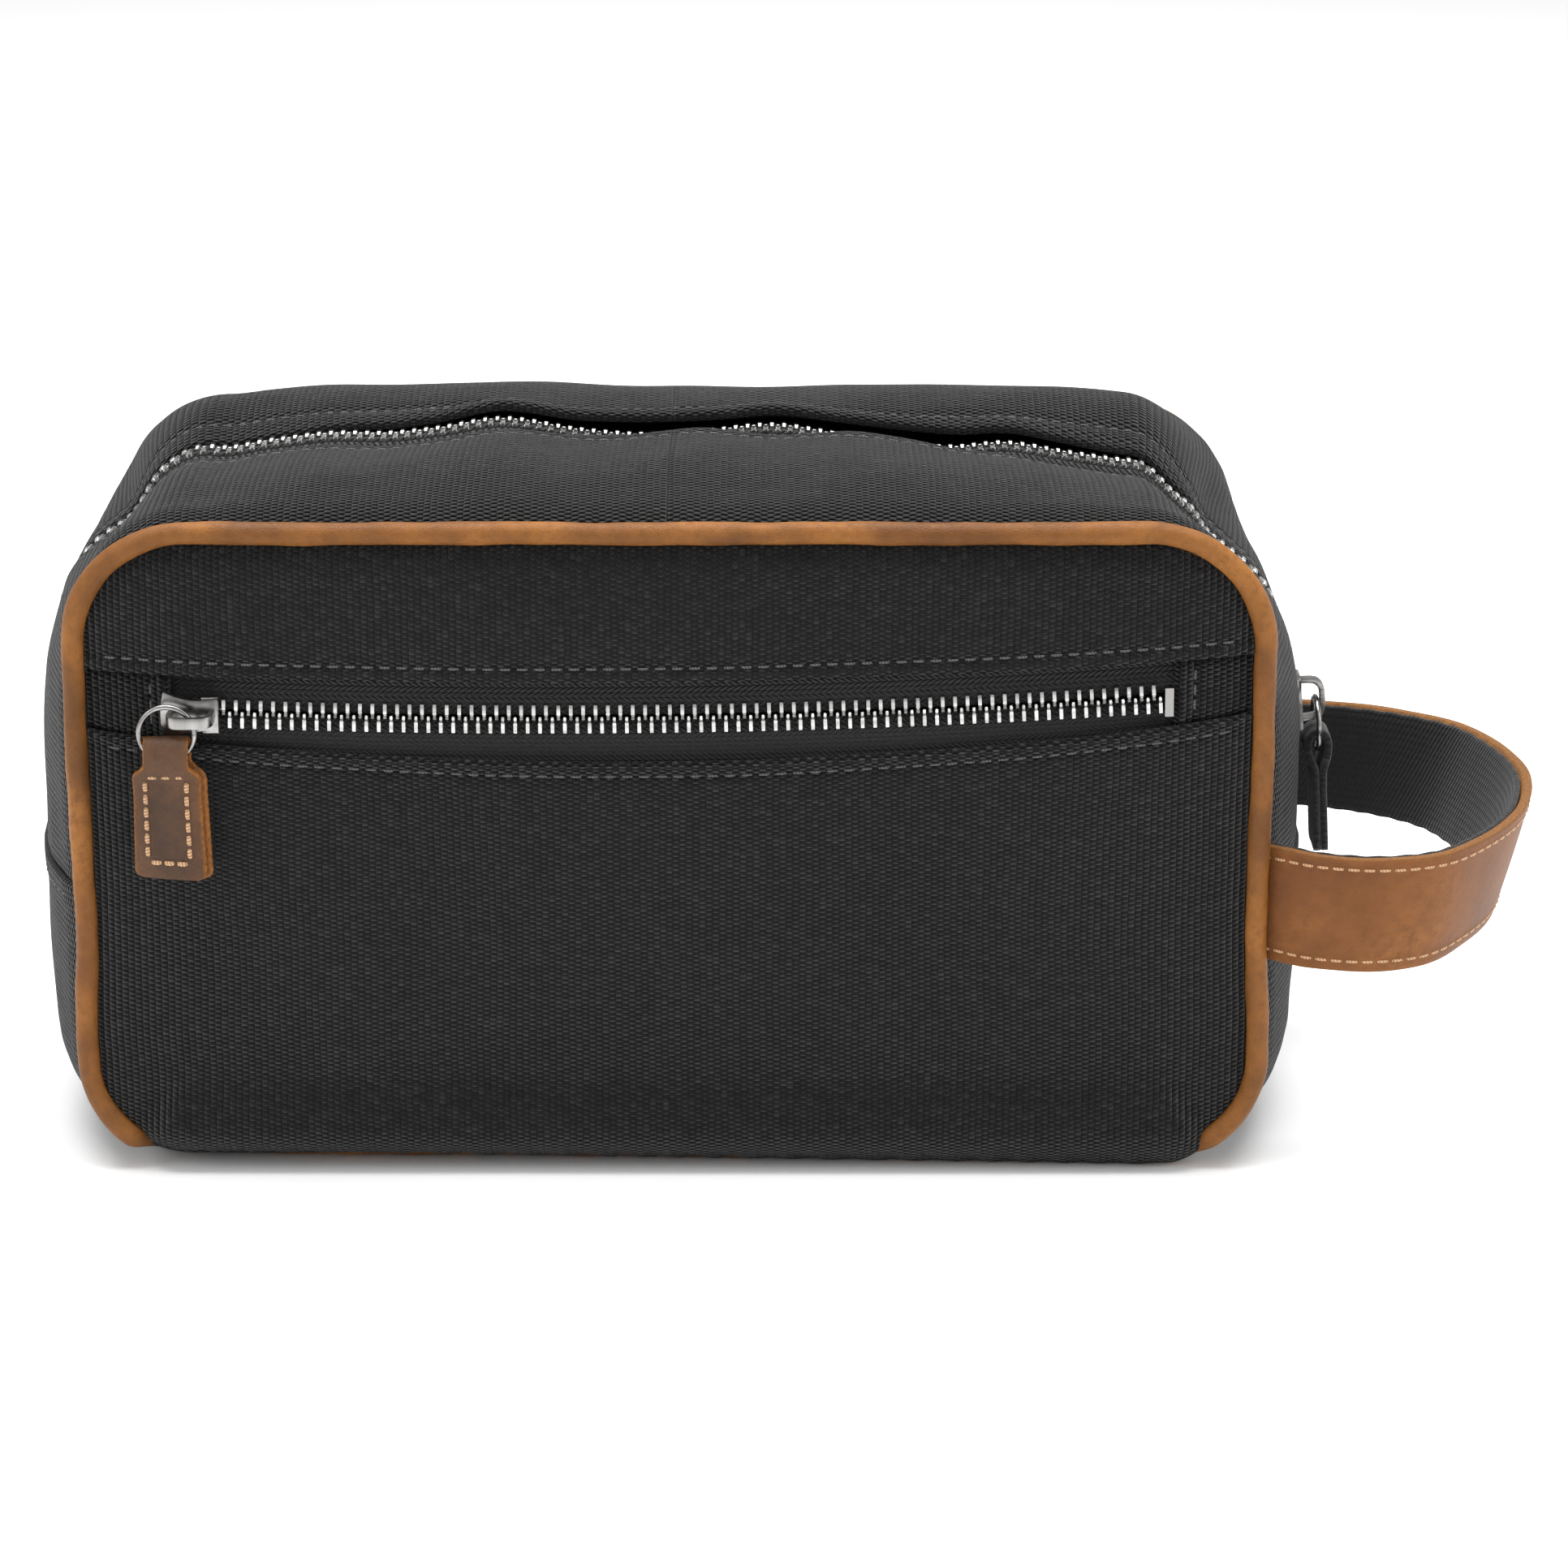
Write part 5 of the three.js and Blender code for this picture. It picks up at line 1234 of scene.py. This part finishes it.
def build_handle():
    line = smooth_line(STRAP_LINE, 240)
    s = lengths(line)
    section = [(0.0, -1), (0.28, -1), (0.86, -1), (1, -0.985), (1, -0.9), (1, -0.6), (1, -0.2), (1, 0.2),
               (1, 0.6), (1, 0.9), (1, 0.985), (0.86, 1), (0.28, 1), (0.0, 0.985), (0, 0.6), (0, 0.2),
               (0, -0.2), (0, -0.6)]
    raw = np.array([1, 1, 1, 0.2, 0, 0, 0, 0, 0, 0, 0.2, 1, 1, 1, 0.7, 0.7, 0.7, 0.7], float)
    sec = np.array(section)
    wave = 0.12 * np.sin(s / 6.3)[:, None] + 0.08 * np.sin(s / 2.9 + 1)[:, None]
    height = sec[None, :, 1] * (STRAP_HALF + wave * 0.6)
    crown = 0.25 * (1 - sec[None, :, 1] ** 2) * (sec[None, :, 0] > 0.9)
    depth = sec[None, :, 0] * 2.1 + crown + 0 * height
    groove = 0.22 * bell(np.abs(height), STRAP_HALF - 2.4, 0.6) * (sec[None, :, 0] > 0.9)
    points = strap_points(line, depth - groove, height)
    across = sec[None, :, 1] * STRAP_HALF + 4 * (1 - sec[None, :, 0])
    uv = np.stack(np.broadcast_arrays(s[:, None], across), -1)
    obj = Build().loft(points, uv, np.broadcast_to(raw[None], points.shape[:2])).make("strap_leather_outer")
    finish(obj, STRAP_LEATHER, STRAP_BEND,
           ["handle_leather", "handle_anchor_front", "handle_anchor_rear"])
    turn = np.linspace(0, 2 * PI, 28, endpoint=False)
    wide = np.sign(np.cos(turn)) * np.abs(np.cos(turn)) ** 0.35
    thick = np.sign(np.sin(turn)) * np.abs(np.sin(turn)) ** 0.45
    knit = 0.1 * np.sin(s / 0.9)[:, None] * (np.abs(wide) > 0.9)[None]
    depth = -1.02 + 0.86 * thick[None] + 0 * s[:, None]
    points = strap_points(line, depth, (STRAP_HALF - 0.25) * wide[None] + knit)
    uv = np.stack(np.broadcast_arrays(s[:, None], wide[None] * STRAP_HALF), -1)
    obj = Build().loft(points, uv).make("strap_webbing_inner")
    finish(obj, WEBBING, STRAP_BEND, ["handle_webbing"])
    build = Build()
    for level in (-1, 1):
        h = level * (STRAP_HALF - 2.4) + 0 * line[:, :1]
        surface = strap_points(line, 2.12 + 0 * h, h)[:, 0]
        lifted = strap_points(line, 3.12 + 0 * h, h)[:, 0]
        keep = slice(12, -12)
        stitches(build, surface[keep], unit(lifted - surface)[keep], 2.7, 0.6, 0.3, 0.12, 8)
    finish(build.make("strap_stitches"), TAN_THREAD, STRAP_BEND)


# ---- Linings ----
def build_linings():
    def ring(x_half, y_half, radius, z, count=26):
        corner = np.linspace(0, PI / 2, count // 2)
        px = x_half - radius + radius * np.cos(corner)
        py = y_half - radius + radius * np.sin(corner)
        flat_x = np.linspace(x_half - radius, -x_half + radius, 40)[1:-1]
        flat_y = np.linspace(-y_half + radius, y_half - radius, 18)[1:-1]
        end_x, end_y = 0 * flat_y + x_half, 0 * flat_x + y_half
        xs = np.concatenate([px, flat_x, -px[::-1], -end_x, -px, -flat_x, px[::-1], end_x])
        ys = np.concatenate([py, end_y, py[::-1], -flat_y, -py, -end_y, -py[::-1], flat_y])
        return np.stack([xs, ys, z + 0 * xs], -1)

    low, x_rim, y_rim, radius = 6.2, 117.6, 45.6, 22.0
    turned = low + radius * (1 - np.cos(np.linspace(0.12, PI / 2, 14)))
    levels = np.concatenate([turned, np.linspace(30, 122.5, 26)])
    rings = []
    for z in levels:
        lift = np.clip(1 - (z - low) / radius, 0, 1)
        x_half = x_rim - radius * (1 - np.sqrt(1 - lift**2))
        y_half = y_rim - 4.0 * lift**2
        r = ring(x_half, y_half, 13, z)
        around = np.arctan2(r[:, 1] * 2.5, r[:, 0])
        folds = 0.5 + 0.5 * np.sin(9 * around + 0.05 * z) * np.sin(z / 17 + 2 * around)
        pull = 1 - 0.018 * folds * step(z, 10, 60)
        rings.append(np.stack([r[:, 0] * pull, r[:, 1] * (pull - 0.012 * folds), r[:, 2]], -1))
    outer = np.array(rings)
    floor = outer[:1] * np.array([0.55, 0.5, 1.0]) + np.array([0, 0, 0.02])
    outer = np.concatenate([floor, outer])
    inner = outer * np.array([0.992, 0.982, 1.0])
    inner[..., 2] += np.linspace(0.8, 0, len(inner))[:, None]
    inner[-1, :, 2] = outer[-1, :, 2] + 0.3
    points = np.concatenate([outer, inner[::-1]])
    around = lengths(points[30])
    uv = np.stack(np.broadcast_arrays(around[None], lengths(points[:, 0])[:, None]), -1)
    obj = Build().loft(points, uv).make("lining_tub")
    finish(obj, LINING, "bag", ["main_lining"])

    # The pocket's own lining is a flat bag of the same cloth behind the front panel.
    x = np.linspace(-101, 101, 60)
    t = np.linspace(0, 1, 26)
    z = 16.5 + 98 * t
    grid_x, grid_z = np.meshgrid(x, z, indexing="ij")
    wave = waves(grid_x + 0.5 * grid_z, (0.18, 47, 0.3), (0.1, 21, 1.2))
    front = np.stack([grid_x, -47.75 + 0.1 * wave, grid_z], -1)
    back = np.stack([grid_x, -47.05 + 0.1 * wave, grid_z], -1)
    points = np.concatenate([front, back[:, ::-1]], 1)
    obj = Build().loft(points, points[..., [0, 2]]).make("lining_pocket")
    finish(obj, LINING, "bag", ["pocket_lining"])

    for side in (-1, 1):
        for hand, start, end in (("left", 0, 93), ("right", -93, 0)):
            s = HALF_ROUND + np.linspace(start, end, 70)
            reach = np.array([12.8, 16, 22, 28, 34, 40, 45.8])[None] + 0 * s[:, None]
            droop = 0.25 * waves(s, (1, 37, 0.5), (0.6, 19, 1.5))[:, None] * bell(reach, 29, 10)
            edge = edge_place(s, side)[:, None]
            lift = zip_gusset_lift(s, side * reach, side, edge) - 2 * FOLD_R[side] - 1.1 - np.abs(droop)
            upper = gusset_points(s, side * reach, lift)
            lower = gusset_points(s, side * reach, lift - 0.8)
            points = np.concatenate([upper, lower[:, ::-1]], 1)
            obj = Build().loft(points, section_uv(s, points)).make(f"lining_top_{hand}_{SIDE_NAME[side]}")
            nodes = ["top_lining_" + SIDE_NAME[side]] if hand == "left" else []
            finish(obj, LINING, flap_bend(hand, side), nodes)


# ---- Camera, floor and light ----
def build_stage():
    scene = bpy.context.scene
    scene.view_settings.view_transform = "Standard"
    target = Vector((0.02408, 0, 0.070))
    height, distance = math.radians(18.87), 0.9886
    data = bpy.data.cameras.new("camera")
    data.sensor_width = 36
    data.lens = 101.3
    camera = bpy.data.objects.new("camera", data)
    scene.collection.objects.link(camera)
    camera.location = target + distance * Vector((0, -math.cos(height), math.sin(height)))
    camera.rotation_euler = (target - camera.location).to_track_quat("-Z", "Y").to_euler()
    scene.camera = camera

    mesh = bpy.data.meshes.new("floor")
    r = 4.0
    mesh.from_pydata([(-r, -r, 0), (r, -r, 0), (r, r, 0), (-r, r, 0)], [], [(0, 1, 2, 3)])
    floor = bpy.data.objects.new("floor", mesh)
    scene.collection.objects.link(floor)
    look = Look("floor_white", 0.9, specular=0.1)
    look.shader.inputs["Base Color"].default_value = (0.93, 0.93, 0.93, 1)
    floor.data.materials.append(look.material)

    world = bpy.data.worlds.new("studio")
    world.use_nodes = True
    world.node_tree.nodes["Background"].inputs[0].default_value = (1, 1, 1, 1)
    world.node_tree.nodes["Background"].inputs[1].default_value = 0.55
    scene.world = world

    def light(name, place, aim, size, power):
        data = bpy.data.lights.new(name, "AREA")
        data.shape = "RECTANGLE"
        data.size, data.size_y = size
        data.energy = power
        lamp = bpy.data.objects.new(name, data)
        scene.collection.objects.link(lamp)
        lamp.location = place
        lamp.rotation_euler = (Vector(aim) - Vector(place)).to_track_quat("-Z", "Y").to_euler()

    light("overhead", (0.0, 0.15, 1.5), (0, 0, 0.08), (1.6, 1.2), 42)
    light("left", (-1.3, -0.7, 0.8), (0, 0, 0.08), (0.7, 1.0), 7)
    light("right", (1.4, -0.6, 0.8), (0, 0, 0.08), (0.7, 1.0), 8)


build_stage()
build_panels()
build_zip_ends()
build_zip_gusset()
build_floor_gusset()
build_piping()
build_bindings()
build_linings()
build_front_zip()
build_main_zip()
build_slider("front", FRONT_PLACE, "front_slider", -2.35, ["front_slider_body", "front_slider_bridge"])
build_slider("main", MAIN_PLACE, "main_slider", -2.4, ["main_slider_body", "main_slider_bridge"])
build_ring("front", FRONT_PLACE, "front_ring", (-4.8, -2.6), "front_pull_ring")
build_ring("main", MAIN_PLACE, "main_ring", (-RING_R, 0), "main_pull_ring")
build_tabs()
build_handle()

for name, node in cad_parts.items():
    if not node.hide_render:
        node.data.materials.clear()
        node.data.materials.append(NICKEL)
